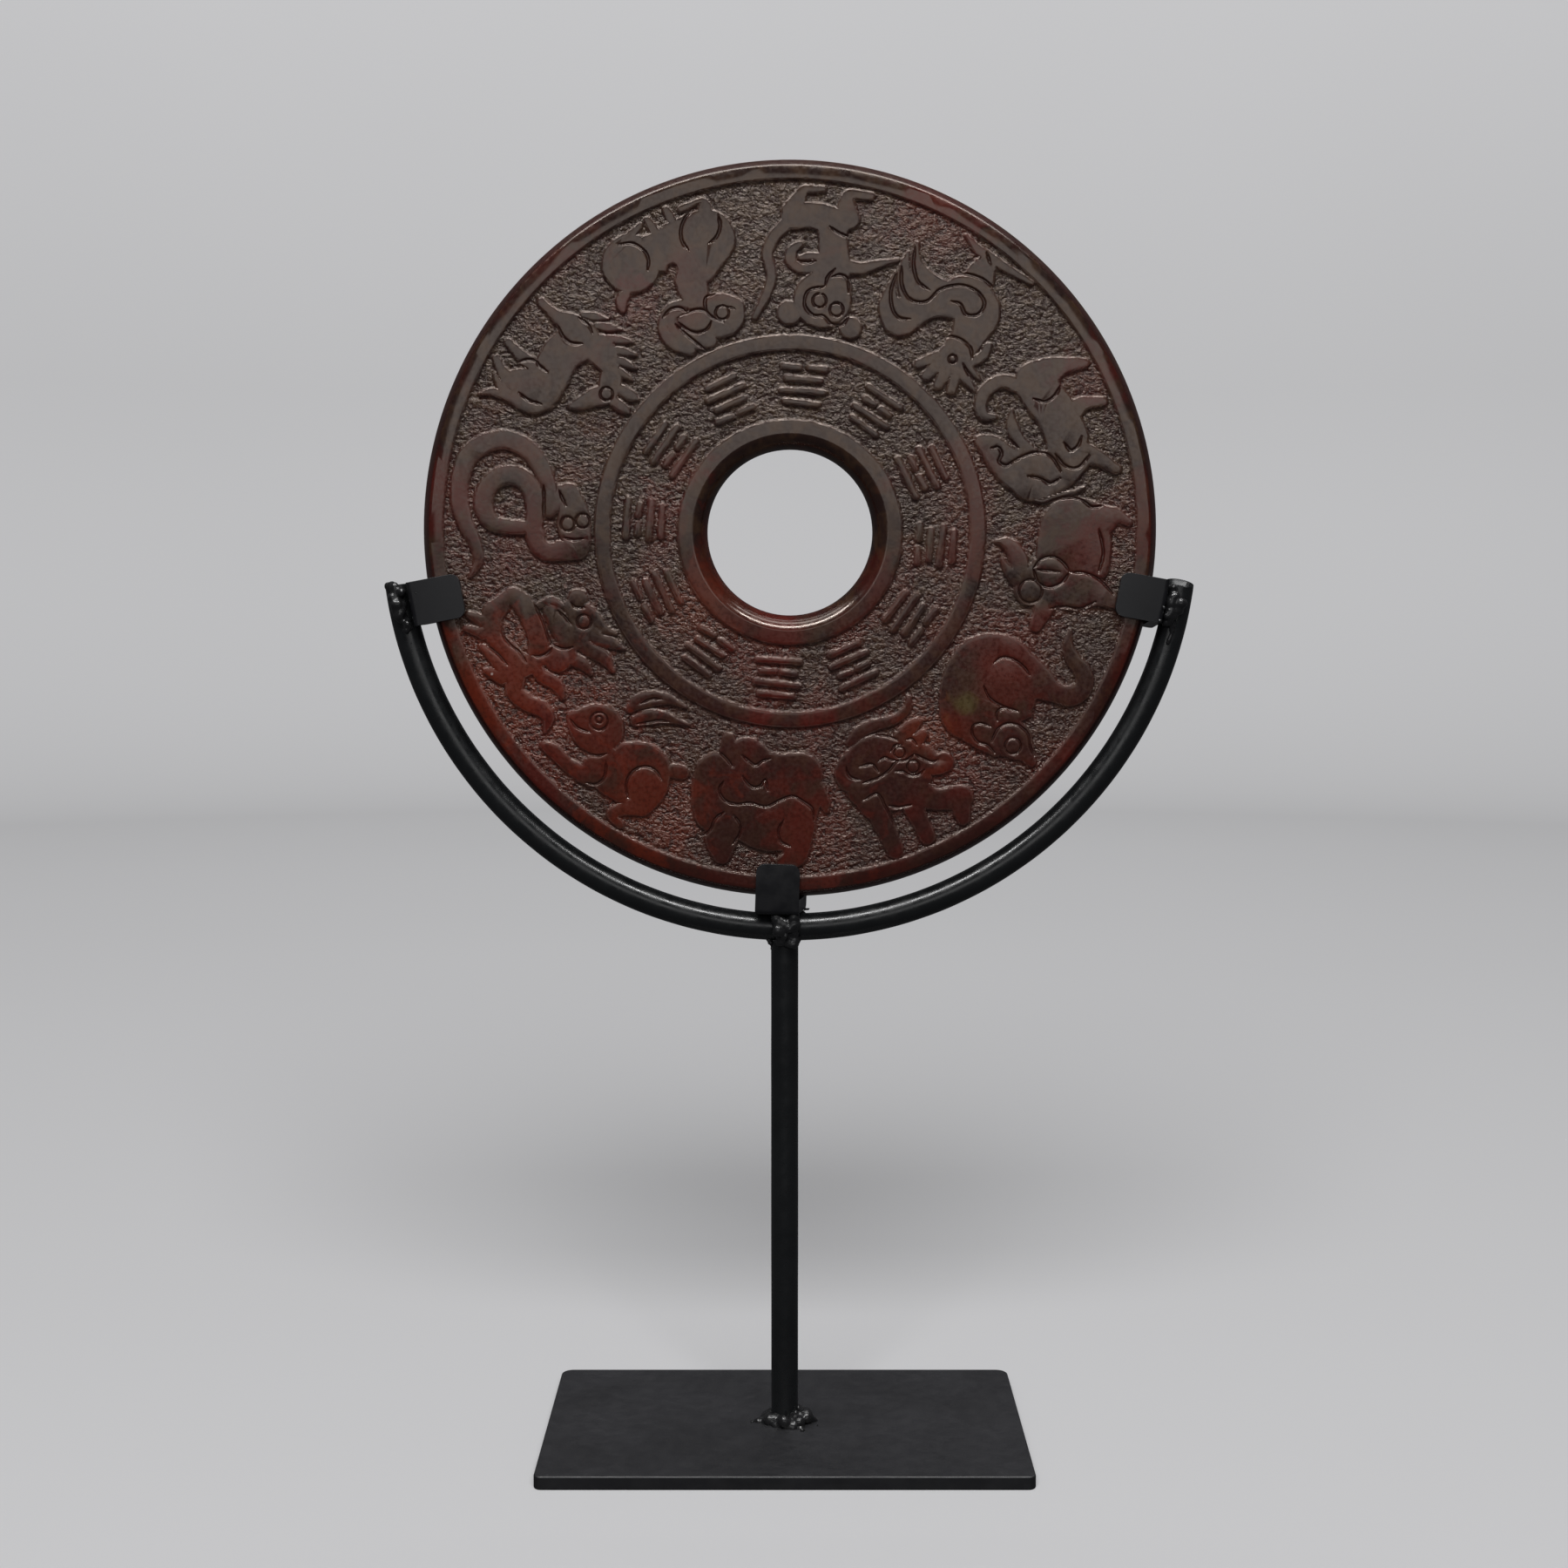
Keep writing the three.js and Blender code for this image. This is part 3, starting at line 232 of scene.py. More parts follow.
# The twelve animals, clockwise from near the top, each in its own frame in mm:
# x to its right, y towards the disc's centre. A limb or a dip is a path of
# (x, y, half width): limbs stand proud of the sunk ground, dips are taken out of
# them. Lines are cut into the figure, and a ring is a cut circle (x, y, radius).
zodiac = {
    "monkey": {
        "limbs": {
            "head": [(-3.4, 11, 8)],
            "muzzle": [(-7.6, 7.6, 3.6)],
            "leftEar": [(-12, 18.3, 3)],
            "rightEar": [(5.6, 15.6, 3.3)],
            "torso": [(-5.8, 2, 5), (-5.2, -4, 4), (-4.5, -9.5, 4.2)],
            "leftArm": [(-8, 1.2, 2.2), (-13.2, 1.6, 1.6), (-18, 0, 1.1), (-23.3, -1.6, 0.4)],
            "rightArm": [(-2, 1.4, 2), (3, 2.9, 1.5), (6.2, 1.2, 1.6), (6.4, -1.6, 1.4),
                (4.4, -3.6, 0.9)],
            "hand": [(-1.2, -0.8, 1), (1.5, -0.5, 1.1), (3.6, 0.2, 0.9)],
            "hips": [(-5.5, -10.5, 4), (1, -12, 3.6), (6.8, -11, 3.4)],
            "leftLeg": [(-8.6, -12, 3.2), (-7.8, -15.8, 2.2), (-8.2, -18.4, 1.5), (-14.4, -18.6, 1.1)],
            "rightLeg": [(7.2, -12.5, 3), (5.6, -16.5, 1.9), (4.2, -18.8, 1.3), (-0.8, -19.3, 0.9)],
            "tail": [(8.2, -9.4, 2), (11.6, -5.4, 1.5), (13.2, -0.5, 1.5), (11.6, 5, 1.4), (12, 9.4, 1.3),
                (15.2, 17.6, 0.7)],
        },
        "lines": {
            "brow": [(-11.1, 15.4), (-9.4, 17.8), (-6.4, 17.6), (-4, 15.7), (-1.2, 15.8), (1.4, 13.2),
                (0.9, 9.2), (-3.6, 7.5)],
            "cheek": [(-3.9, 7.2), (-4.3, 4.8), (-6.2, 2.3)],
            "mouth": [(-10.6, 8.6), (-10, 5), (-8, 3.9), (-5.6, 4.6)],
            "arm": [(-0.6, 0.7), (2, 1.3), (4.6, 0.9)],
            "haunch": [(-12, -9.2), (-9.8, -7), (-6.4, -7.6), (-3.6, -9.2)],
        },
        "rings": [(-7.6, 13.6, 1.9), (-2.6, 11.5, 1.9)],
    },
    "rooster": {
        "limbs": {
            "head": [(-9.9, 10.6, 4.6)],
            "upperBeak": [(-13.5, 12.2, 1.9), (-17.4, 13.5, 1.1), (-20.4, 14.5, 0.3)],
            "lowerBeak": [(-13.5, 9.8, 1.6), (-17, 10.4, 0.8), (-19.2, 11, 0.3)],
            "comb": [(-13.2, 14.4, 1.5), (-14.4, 18, 1.3)],
            "combMiddle": [(-10.2, 15, 2), (-10.6, 19, 1.4)],
            "combBack": [(-7, 14.6, 2), (-6.4, 18.8, 1.4)],
            "combTip": [(-5.8, 12.6, 1.5), (-2.6, 17.4, 1.2)],
            "wattle": [(-14.6, 8.6, 1.3), (-16.2, 5, 1.4), (-15.8, 2, 1)],
            "breast": [(-9.9, 8, 4.4), (-9.4, 2, 4.8), (-7.2, -4.2, 6.8), (-2, -5, 6)],
            "saddle": [(-2, -3.4, 5), (3.4, 0, 4.6), (7, 5, 4.6), (9, 9.6, 5.2)],
            "plumeTop": [(9.6, 10, 4.9), (13.6, 8.4, 3), (16.2, 3.6, 1.1), (17.3, 0.4, 0.4)],
            "plumeMiddle": [(6, 3, 3.2), (11, 2.4, 3.1), (15.6, -1.6, 1.7), (17.7, -6.2, 0.5)],
            "plumeLow": [(4, -3.2, 3), (9.6, -2.8, 2.9), (14.6, -5.6, 1.7), (17.2, -10, 0.4)],
            "thigh": [(-3.4, -10.5, 4.4), (-2.4, -14, 3.6), (-2.6, -17.5, 2.4)],
            "frontToes": [(-3.4, -18.4, 1.5), (-9, -18.8, 1.1), (-15.6, -19.4, 0.6)],
            "backToes": [(-2, -18.4, 1.4), (2.4, -18.4, 1.3), (7, -19.6, 0.4)],
        },
        "lines": {
            "jaw": [(-14.2, 7.4), (-12, 5.3), (-9, 4.9), (-5.8, 5.7), (-4.6, 7)],
            "gape": [(-19.6, 12.6), (-16, 11.6), (-13, 10.2)],
            "wing": [(0, -2.2), (-2.6, -3), (-5.6, -1.6), (-8.4, -3.6), (-8, -7.2), (-4.4, -8.6),
                (0.6, -7.2), (4.4, -3), (5.6, 1.8), (9.4, 4), (13.6, 2.4), (17, -2)],
            "plumeUpper": [(6.6, 8.5), (9, 10), (12, 9.2), (15.4, 5.4), (17, 0.6)],
            "plumeLower": [(6.8, -1.2), (10.4, -1.2), (14, -3.8), (17, -8.6)],
            "thigh": [(-8, -12), (-4, -12.3), (0.4, -11), (3.6, -9.2)],
            "toes": [(-3.4, -16.8), (-0.4, -19)],
        },
        "rings": [(-9.7, 10.7, 1.1)],
    },
    "dog": {
        "limbs": {
            "brow": [(-12, 11.5, 5), (-7, 13.6, 4.4), (-2, 15.2, 3.2), (0.4, 17, 1.7)],
            "jaw": [(-9, 6.4, 2.8), (-4, 7.4, 1.9), (1, 7.2, 1.5), (4.6, 5.6, 0.4)],
            "neck": [(-15.5, 8.5, 6), (-16, 2, 6.2), (-14.5, -4.5, 5.4)],
            "shoulder": [(-14, -3, 5.4), (-8.5, -5.5, 5.6)],
            "trunk": [(-9, -5.5, 6), (-2, -5.6, 5.8), (4, -4.4, 5.8), (9, -3.6, 5.8)],
            "tail": [(10.5, 1, 2.2), (13.2, 4.8, 1.9), (12.9, 9.6, 1.8), (10, 12.9, 1.7),
                (6.6, 13.3, 1.3), (5, 10.8, 0.6)],
            "frontLeg": [(-15, -8, 3.2), (-18.6, -11.6, 2), (-23, -14.4, 1.4)],
            "middleLeg": [(-3, -10, 2.8), (-2.2, -13.4, 2), (-4, -18.8, 1.3)],
            "hindLeg": [(10, -7, 4.4), (10, -12, 2.6), (8, -18.6, 1.3)],
        },
        "lines": {
            "ear": [(-14.2, 9), (-16.2, 6.2), (-18.8, 4.2), (-18.6, 1)],
            "cheek": [(-8.6, 11), (-8.6, 6.4), (-9.6, 3), (-12, 0.8), (-17, 0)],
            "shoulder": [(-12, -0.6), (-15.8, -1.6), (-18, -4.6), (-16.2, -9.2)],
            "elbow": [(-10, -4.2), (-12.8, -5), (-12.4, -7.4), (-10.4, -9.4)],
            "rump": [(5, -1.4), (2.8, -4), (3.2, -7.2), (5, -9.8)],
            "lip": [(-5.8, 8.2), (-2.2, 9.8), (0.4, 11.6), (1.8, 15)],
            "swirl": [(-8.4, 10.6), (-8.9, 13.4), (-6.9, 14.8), (-5.2, 13.2), (-3.2, 13.4), (-2.6, 15.2)],
        },
        "rings": [],
    },
    "pig": {
        "limbs": {
            "trunk": [(-3, -3, 9), (3, -2.6, 9.2), (7.8, -3, 9.2)],
            "head": [(-7, 3, 6.6), (-10.4, 7.6, 4.2)],
            "snout": [(-12, 2, 3.2), (-16.6, 3.4, 2.4), (-20.4, 4.8, 1.6)],
            "farEar": [(-6, 10.5, 2.4), (-1, 11.8, 2.4), (2.2, 15, 1.7), (2.6, 18.2, 0.4)],
            "nearEar": [(-8, 11, 1.8), (-5.6, 13.8, 1.3), (-2.4, 16.2, 0.4)],
            "foreleg": [(-10, -4, 5), (-9.2, -10, 4.2), (-10.6, -14.6, 2.5), (-12, -18, 1.5)],
            "rump": [(11, -4, 6), (11, -10, 4.6), (12.6, -15.2, 2), (11.4, -18.6, 1.2)],
            "belly": [(-3, -12, 2.2), (4, -12.4, 2), (10, -11, 2)],
            "tail": [(15.4, 9.8, 0.4), (15.4, 6, 0.7), (16.9, 1.6, 0.9), (18.2, -2, 0.7),
                (20, -5.2, 0.3)],
        },
        "lines": {
            "leafLeft": [(-4.2, 7), (-8.2, 5), (-9, 1.6), (-7.4, -1.4), (-4.2, -3.4)],
            "leafRight": [(-4.2, 7), (-1.2, 4.8), (-0.4, 1.6), (-1.8, -1.4), (-4.2, -3.4)],
            "leafVein": [(-4.4, 5.8), (-4.4, -0.6)],
            "foreleg": [(-4.2, -3.6), (-4.2, -8), (-5.6, -12), (-9.4, -16.4)],
            "chest": [(-15, 1), (-14.2, -3), (-14.4, -7.4), (-12, -11.6)],
            "belly": [(-3.8, -11.6), (2, -12.4), (8.4, -10.6)],
            "rump": [(14.6, 5), (16.6, 0), (16.4, -4.6), (14.6, -8), (15.4, -11)],
        },
        "rings": [(-10.6, 7.2, 3.3)],
    },
    "rat": {
        "limbs": {
            "back": [(-12, 5.8, 8.4), (-6, 8, 9.8), (0, 7.6, 11), (1.4, 5, 10.8)],
            "tail": [(3.6, 1, 8), (5.6, -5, 5), (6.2, -11, 2.9), (8, -15.6, 2.9), (11.6, -17.2, 2.5),
                (15.4, -14.8, 2.3), (17, -10, 2), (19.4, -6.4, 1.3), (23, -4.6, 0.4)],
            "head": [(-12, -2.5, 6.6), (-12, -9.6, 5), (-12.8, -14, 2.6), (-14, -17.4, 1.2)],
            "cheek": [(-16.5, 1, 3.6), (-17.4, -7.2, 1.4)],
            "haunch": [(0.4, -1, 6), (-1, -5, 3.6)],
            "paw": [(-6, -5.4, 2.2), (-3.4, -8.6, 1)],
        },
        "lines": {
            "haunchFront": [(-4, 6.5), (-5.8, 3), (-5.6, -1.2), (-4.2, -5.8)],
            "haunchBack": [(3, 8), (5.6, 7), (7.2, 3.4), (7, 0), (6.2, -2.4)],
            "ear": [(-17.8, -7.2), (-17.2, -4.2), (-18, -1.4), (-17, 1.2), (-15, 2.4), (-13.2, 1),
                (-12.3, -1.8)],
            "farEar": [(-9.8, -2.4), (-8, -1), (-6, -1.6), (-4.8, -3.8), (-4.4, -5.6)],
            "face": [(-15.6, -4.6), (-12, -3.9), (-9, -5.2), (-7.4, -8.4), (-8, -12), (-10.4, -14.4),
                (-12, -17)],
        },
        "rings": [(-13.2, -10.3, 2.3)],
    },
    "ox": {
        "limbs": {
            "horn": [(-9.6, 15.2, 1.1), (-6.4, 16.8, 1.7), (-1, 16.9, 1.6), (5, 16, 1.3), (9, 17.2, 1),
                (11, 20, 0.5)],
            "hump": [(-11.6, 6.8, 6.2), (-5, 8.4, 6.4), (0, 7.2, 4.8)],
            "head": [(2, 6.4, 4.2), (6.4, 3.6, 3.8), (9.6, -0.8, 2.9), (12.2, -1.2, 2.8)],
            "ear": [(4, 10.4, 2.2), (7.4, 11.8, 2), (10.6, 12.6, 1)],
            "farEar": [(7, 7.6, 2.2), (10.4, 8.8, 1.2)],
            "shoulder": [(-12.4, 1, 4.2), (-6, 0.6, 4.2), (0, 0, 4.6), (4, -1.6, 3.8)],
            "trunk": [(-5, -3.4, 4.6), (0.4, -4.6, 4.4), (5.4, -9.6, 3), (12.6, -12.4, 3.4)],
            "chest": [(-13.6, 0, 2.4), (-13, -5.8, 1.4)],
            "foreleg": [(-10.8, -3, 3.4), (-10.8, -10, 2.9), (-11, -18.6, 2.2)],
            "middleLeg": [(-0.8, -8, 3), (-1, -13, 2.4), (-0.9, -18.6, 2.2)],
            "hindLeg": [(12, -12.6, 3.2), (10.6, -18.4, 1.8)],
        },
        "lines": {
            "hump": [(-13.6, 9.6), (-14, 7.2), (-13, 5.4), (-11.4, 4.4)],
            "neck": [(-11.2, 3.3), (-7, 2.8), (-3, 3.4), (0, 4.8), (3, 4), (5.6, 4.7)],
            "crown": [(-2, 14.2), (0.6, 12.7), (3, 10.2)],
            "cheek": [(5.6, 4.7), (7.6, 2.2), (9.4, 0.4), (11.2, 0.3)],
            "mark": [(-10.2, 8), (-6.6, 7), (-5.8, 4.2)],
            "lash": [(-4.6, 7.1), (-2.4, 7.3), (-1.2, 6), (0.6, 4.8)],
            "brow": [(-0.2, 8.2), (1.8, 9.2), (3.6, 8.4)],
            "temple": [(5.2, 9.4), (6.8, 8.8), (7.4, 6.8)],
            "jaw": [(-1.4, 2.4), (0.6, 1.4), (2, -0.4), (4, -1.2), (6.2, -0.7)],
            "chest": [(-13.2, -1.3), (-8.8, -1.3), (-8.2, -6), (-7.9, -12.6)],
            "belly": [(-7.2, -5.8), (-5, -7.4), (-1.2, -8.3)],
        },
        "rings": [(2, 6.8, 1.6), (3.8, 1.4, 1.8)],
    },
    "tiger": {
        "limbs": {
            "mane": [(-14.6, 6, 6.6), (-15.4, 0, 6.2), (-15, -5, 5.4)],
            "ear": [(-11.6, 12.5, 3), (-12.4, 16.8, 1.7)],
            "head": [(-6.6, 11.6, 6), (-2.6, 9.8, 4.6)],
            "back": [(-2, 8, 6), (4, 8, 5.8), (8.6, 8, 6.6)],
            "rump": [(10, 3, 5.6), (9.4, -3, 5.4), (9.2, -9, 4.8)],
            "side": [(-9, 3, 5.6), (0, 2, 5), (6, 2.4, 5)],
            "trunk": [(-8, -4, 6.4), (0, -7, 7.2), (5, -7, 7)],
            "foreleg": [(-12, -7, 5.4), (-12, -13, 4.2), (-11.6, -17, 2.2)],
            "hindLeg": [(9.4, -11, 4.6), (9.4, -15.4, 3), (6, -17.2, 1.7)],
            "tail": [(13.4, 4.6, 2.8), (16.4, 1.2, 1.6), (17.4, -1.4, 0.6)],
        },
        "lines": {
            "mane": [(-14.8, 12.9), (-12.8, 11.4), (-10.6, 9.1)],
            "brow": [(-8.2, 12.6), (-6, 11), (-4, 10), (-2.4, 11.2), (0, 12.3)],
            "nose": [(-7.4, 6.6), (-5.8, 4.6), (-4, 3.6), (-2.2, 4.2), (-0.9, 6), (0.2, 3)],
            "stripe": [(-12.8, 4.6), (-13.8, 2), (-12, -0.8), (-9, -1.7), (-4.6, -1), (0, -1.6),
                (3.6, 0.4), (7.2, 2), (10.4, 0.8), (13.4, -1.2), (14, -4.6)],
            "foreleg": [(-12, -4.3), (-14.4, -6.6), (-15.4, -9.6), (-18, -11.8), (-21, -12.7)],
            "forelegBack": [(-9, -5), (-7.2, -7), (-6.8, -9.8), (-8.6, -13.3)],
            "hindLeg": [(5.4, -5), (4.2, -8), (5, -11.2), (8, -12.6)],
        },
        "rings": [],
    },
    "rabbit": {
        "limbs": {
            "head": [(-13, -0.6, 7.4), (-17.2, -1.6, 4.4), (-20.6, -1.7, 1.6)],
            "farEar": [(-8.6, 9.6, 1.1), (-7.6, 12.8, 2.1), (-4.4, 16.2, 2.1), (0, 18.4, 1.1),
                (4, 19, 0.3)],
            "nearEar": [(-5.4, 7.6, 1.5), (-3, 10.6, 2.1), (0.4, 13, 1.8), (4, 14.4, 0.9),
                (7.6, 15.4, 0.3)],
            "trunk": [(0.6, -3.4, 6.4), (4.2, -3, 7.8), (6, -5, 7.4)],
            "chest": [(-5.4, -6.6, 4.4), (-7, -11, 4), (-6.4, -13.4, 2.4)],
            "foreleg": [(-8, -13.4, 2.6), (-14, -14, 1.9), (-20, -13, 1.9), (-22.8, -13.3, 1.2)],
            "belly": [(-2, -10, 5), (3, -10.5, 4)],
            "haunch": [(9, -6.4, 4.8), (9.4, -11, 3.6)],
            "hindLeg": [(9, -12, 2.8), (6, -15.4, 1.9), (4.4, -18.4, 1.5), (8, -19.6, 1)],
            "tail": [(11.6, 2, 2), (13.8, 3, 2)],
        },
        "lines": {
            "mouth": [(-21, -2.7), (-18, -3.5), (-14.2, -2.5)],
            "cheek": [(-13.6, -8.7), (-8.6, -6.8), (-6.9, -4.8)],
            "chest": [(-5.8, -6.8), (-4.2, -9.2), (-3.6, -11.8), (-4.6, -14), (-6.8, -15)],
            "haunch": [(10.4, -2), (8, -0.9), (5, -1.2), (2.6, -3.4), (2, -6.6), (3.2, -9.6),
                (5.4, -11.8)],
            "farEar": [(-7.1, 12.5), (-5.4, 15.2), (-2.8, 17.1)],
            "nearEar": [(-4.6, 7.2), (-2, 9.6), (0, 11.6), (2.4, 12.9)],
        },
        "rings": [(-14, 1.6, 2.5), (-14.2, 2, 0.9)],
    },
    "dragon": {
        "limbs": {
            "nostril": [(-8.4, 14.1, 2.8)],
            "snout": [(-7.4, 11.4, 2), (-3.4, 12.4, 3.4), (0.6, 11.4, 3.6)],
            "horn": [(-5, 15.2, 1.5), (-1.4, 16.4, 1.6), (2.2, 17, 1.4), (5, 19.6, 0.4)],
            "lockTop": [(0.4, 13.6, 2.2), (4.4, 14.6, 1.9), (6.8, 17.2, 1.6), (10, 20, 0.4)],
            "lockMiddle": [(2, 9.4, 2.2), (6, 11, 2), (9.4, 13.6, 1.8), (14.4, 14.4, 0.4)],
            "lockLow": [(2, 5.4, 2.4), (6, 5.6, 1.8), (8.8, 7.6, 1.7), (12.4, 8.4, 0.4)],
            "lip": [(-11.4, 3, 0.8), (-11.3, 7, 1.1), (-8.6, 9, 0.9)],
            "mouth": [(-8.2, 6, 2.4), (-3.4, 6.6, 3.2), (1.4, 7.4, 3.4)],
            "cheek": [(4.4, 1.8, 4)],
            "jaw": [(-17, -2.2, 2.4), (-14.6, -0.9, 2.7), (-9, -0.3, 2.8), (-2.6, -0.9, 2.9),
                (0.6, -3.4, 2.2)],
            "coil": [(-17.4, -4.4, 1.8), (-15.2, -9.3, 3.2)],
            "throat": [(1.8, -1, 2.6), (2.6, -6, 2.6), (2.8, -10, 2.8)],
            "lockBack": [(3.4, -5.2, 1.9), (7.2, -4.4, 1.8), (11, -1.8, 1.7), (15.4, -1.9, 0.4)],
            "trunk": [(-13, -11, 3), (-8, -12, 2.4), (-2.4, -10, 2.6), (3, -10.8, 2.8), (7.8, -13.6, 2.4),
                (12, -11.8, 2.4), (15.4, -8.8, 2.1), (18.6, -8, 1.6), (22, -10.8, 0.4)],
            "foreClaw": [(-14, -13, 2), (-17.6, -15.9, 0.9)],
            "middleClaw": [(-11, -14.4, 1.8), (-14.4, -18.4, 0.8)],
            "hindLeg": [(2, -13, 2.6), (-2.4, -14.4, 1.8), (-7.2, -16.2, 1)],
            "hindClaw": [(2.4, -15, 2.2), (-1, -18.4, 0.9)],
        },
        "dips": {
            "throat": [(-11.2, -5, 0.9), (-7.4, -6, 1.8), (-2.6, -5.6, 1.1)],
        },
        "lines": {
            "nostril": [(-8.4, 12), (-6.6, 12.6), (-5.5, 14.8)],
            "mouth": [(-7.8, 7.6), (-5.6, 8.6), (-2.8, 9.3)],
            "chin": [(-12.2, 2.4), (-6, 2.3), (-0.6, 1.8), (1.6, 3.1), (2.9, 5), (3.2, 7)],
            "throat": [(0.7, 2), (1.7, 0), (1.6, -3), (0.6, -4.4)],
            "belly": [(-10.4, -8.9), (-7.6, -9.6), (-4.6, -8.8), (-1.8, -7.4), (1.4, -6.9)],
            "leg": [(-7.4, -14.9), (-3.6, -13.2), (0, -12.1)],
        },
        "rings": [(-1.9, 13, 2)],
    },
    "snake": {
        "limbs": {
            "coil": [(0, 8.4, 1.8), (-6, 7.8, 2), (-12, 5.2, 2.4), (-16.8, 0.8, 2.6), (-19, -5, 2.7),
                (-17.6, -11, 2.7), (-13.4, -15.8, 2.8), (-7, -17.5, 2.6), (0, -17.2, 2.4),
                (6, -14.8, 2.1), (11, -12, 1.7), (16, -10.8, 1.3), (20.4, -12.8, 0.4)],
            "innerCoil": [(10, 17, 3), (11, 12, 2.8), (10.4, 7.4, 3.2), (6, 4.5, 2.5), (0, 4.4, 2.6),
                (-5.6, 2.8, 2.7), (-9, -1.2, 2.7), (-8.6, -6.2, 2.7), (-5, -9.8, 2.7), (0.4, -10.4, 2.6),
                (4.6, -7.6, 2.3), (5.4, -3, 2.1), (5.3, 0.8, 2)],
            "head": [(-5.6, 13.4, 2.8), (-1, 15, 4), (4, 15.8, 4.6), (8, 17.2, 3.4)],
            "jaw": [(-6.4, 10.9, 1.2), (-1, 9.8, 1.6)],
        },
        "dips": {
            "throat": [(5, 8.8, 1.3), (7.2, 9.4, 1.9)],
        },
        "lines": {
            "mouth": [(-6, 10.7), (-4, 11.7), (-2, 12.9)],
            "neck": [(6.8, 18.6), (7.5, 16), (7.1, 13.2)],
            "coil": [(-7, 6.1), (-2.6, 6.6), (2.6, 6.9)],
        },
        "rings": [(1.9, 18, 2), (3.1, 13.8, 2)],
    },
    "horse": {
        "limbs": {
            "neck": [(-11.2, 3.6, 4.4), (-9.6, 8, 3)],
            "head": [(-6.6, 10.6, 3), (-2.6, 12, 3), (1, 9.6, 2.6), (4.4, 7.6, 1.8), (6.4, 5.8, 0.8)],
            "ear": [(-5.4, 14.6, 1.4), (-5.6, 17.6, 1.6), (-6, 20.2, 0.4)],
            "farEar": [(-1.6, 14.6, 1.4), (-1.4, 17.6, 1.5), (-1.4, 20.2, 0.4)],
            "trunk": [(-10, -3, 6), (-4, -4.6, 5.3), (3, -4, 5.5), (7, -4, 5.8)],
            "haunch": [(8.4, -6.6, 5.3), (9.6, -11, 3.2)],
            "foreleg": [(-12.2, -7, 3.4), (-12, -12, 1.7), (-12.8, -17.4, 1.2)],
            "middleLeg": [(3, -9, 2), (2.9, -14, 1.6), (1.8, -18.8, 1.1)],
            "hindLeg": [(10.6, -12, 2.4), (9.4, -16, 1.4), (7.6, -19.2, 1)],
            "tail": [(10, 0, 1.6), (13.2, -2.8, 1.7), (14, -8, 1.6), (13.4, -13, 1.3), (11.6, -17, 0.4)],
            "tailTip": [(14.2, -9, 1.3), (15.8, -14.4, 1.1), (18.4, -17.4, 0.4)],
        },
        "lines": {
            "shoulder": [(-9.8, -1.4), (-8, -4.4), (-8.3, -7.2), (-10, -10.2)],
            "breast": [(-13.8, -0.8), (-15, -3), (-15.2, -6.4)],
            "flank": [(2.4, -5), (2.3, -8), (1.8, -9.6), (3, -11.8), (4.8, -13.2)],
            "tail": [(10.8, -1.4), (12, -4.8), (11.9, -8.4)],
        },
        "mane": {
            "roots": [(-9.4, 8.8), (-11.5, 8), (-13.5, 6.4), (-15.2, 3.6), (-16.3, -1), (-16.6, -5.8)],
            "length": 6.9,
            "width": 1.1,
            "lean": 26,
        },
        "rings": [(-2.1, 12.1, 1.8)],
    },
    "goat": {
        "limbs": {
            "chest": [(-13.4, -7.6, 8.1), (-6, -8.2, 8)],
            "breast": [(-15.6, -3.6, 3.6), (-8.6, -0.2, 3.8)],
            "trunk": [(-6, -8.4, 7.6), (1, -10.2, 5.4), (4, -10.6, 5.2)],
            "rump": [(8.8, -10.2, 8.2)],
            "neck": [(-5.6, -2.4, 5), (-4.2, 3, 4.2), (-3.6, 8.4, 3)],
            "head": [(-12, 13.4, 3.2), (-8, 13.8, 6), (-4.6, 13, 4.4)],
            "jaw": [(-10, 10.4, 2.6), (-7.4, 9.4, 2.4)],
            "ear": [(-3.6, 12, 2.2), (-0.6, 12, 3.2), (2.4, 11, 1.8)],
            "horn": [(-2, 18.4, 2.2), (1.6, 17, 2.2), (4.4, 14, 2), (5.6, 10.8, 1.7), (4.4, 8, 1.4),
                (1.2, 8, 0.7)],
            "farHorn": [(4, 18.4, 1.7), (7, 15.6, 1.6), (8.4, 11.6, 1.5), (7.2, 7.8, 1.3),
                (3.4, 5.6, 1.2), (-0.4, 6.4, 1.4)],
            "tail": [(13, -3.6, 1.1), (15.6, -2, 1.6), (16.4, 0.6, 0.6)],
            "forefoot": [(-16.4, -15, 2), (-17, -17.3, 0.9), (-10.4, -18, 0.9)],
            "kneeling": [(-6.8, -15.4, 1.3), (-6.6, -19.6, 0.9)],
            "middleFoot": [(-1.2, -14.6, 1.6), (-0.6, -19.2, 1)],
            "hindFoot": [(8, -16, 2.4), (5, -17.4, 1.2), (1.6, -19, 0.5)],
        },
        "dips": {
            "loin": [(1.8, -0.6, 1.5), (-1.2, -4, 1.5)],
        },
        "lines": {
            "shoulderFront": [(-13.4, -6), (-16, -6.6), (-18.3, -8.8), (-19.3, -12.2)],
            "shoulderBack": [(-7.5, -6.6), (-6.9, -9.6), (-8, -12.8), (-10.8, -15.4), (-15.2, -17)],
            "haunch": [(5.3, -6.6), (3.9, -9), (3.9, -11.6), (6, -15), (9.6, -16.4)],
            "eyeCorner": [(-12.4, 13.5), (-10.4, 12)],
            "face": [(-8, 15.6), (-5.6, 13), (-4.4, 10.4), (-2, 9.1), (0.8, 9)],
            "jaw": [(-9, 7.5), (-6.4, 7.3), (-5.2, 9), (-5, 11)],
            "ear": [(-5, 13.8), (-3, 15.3), (0, 15.2), (2.4, 13), (3.6, 10.4)],
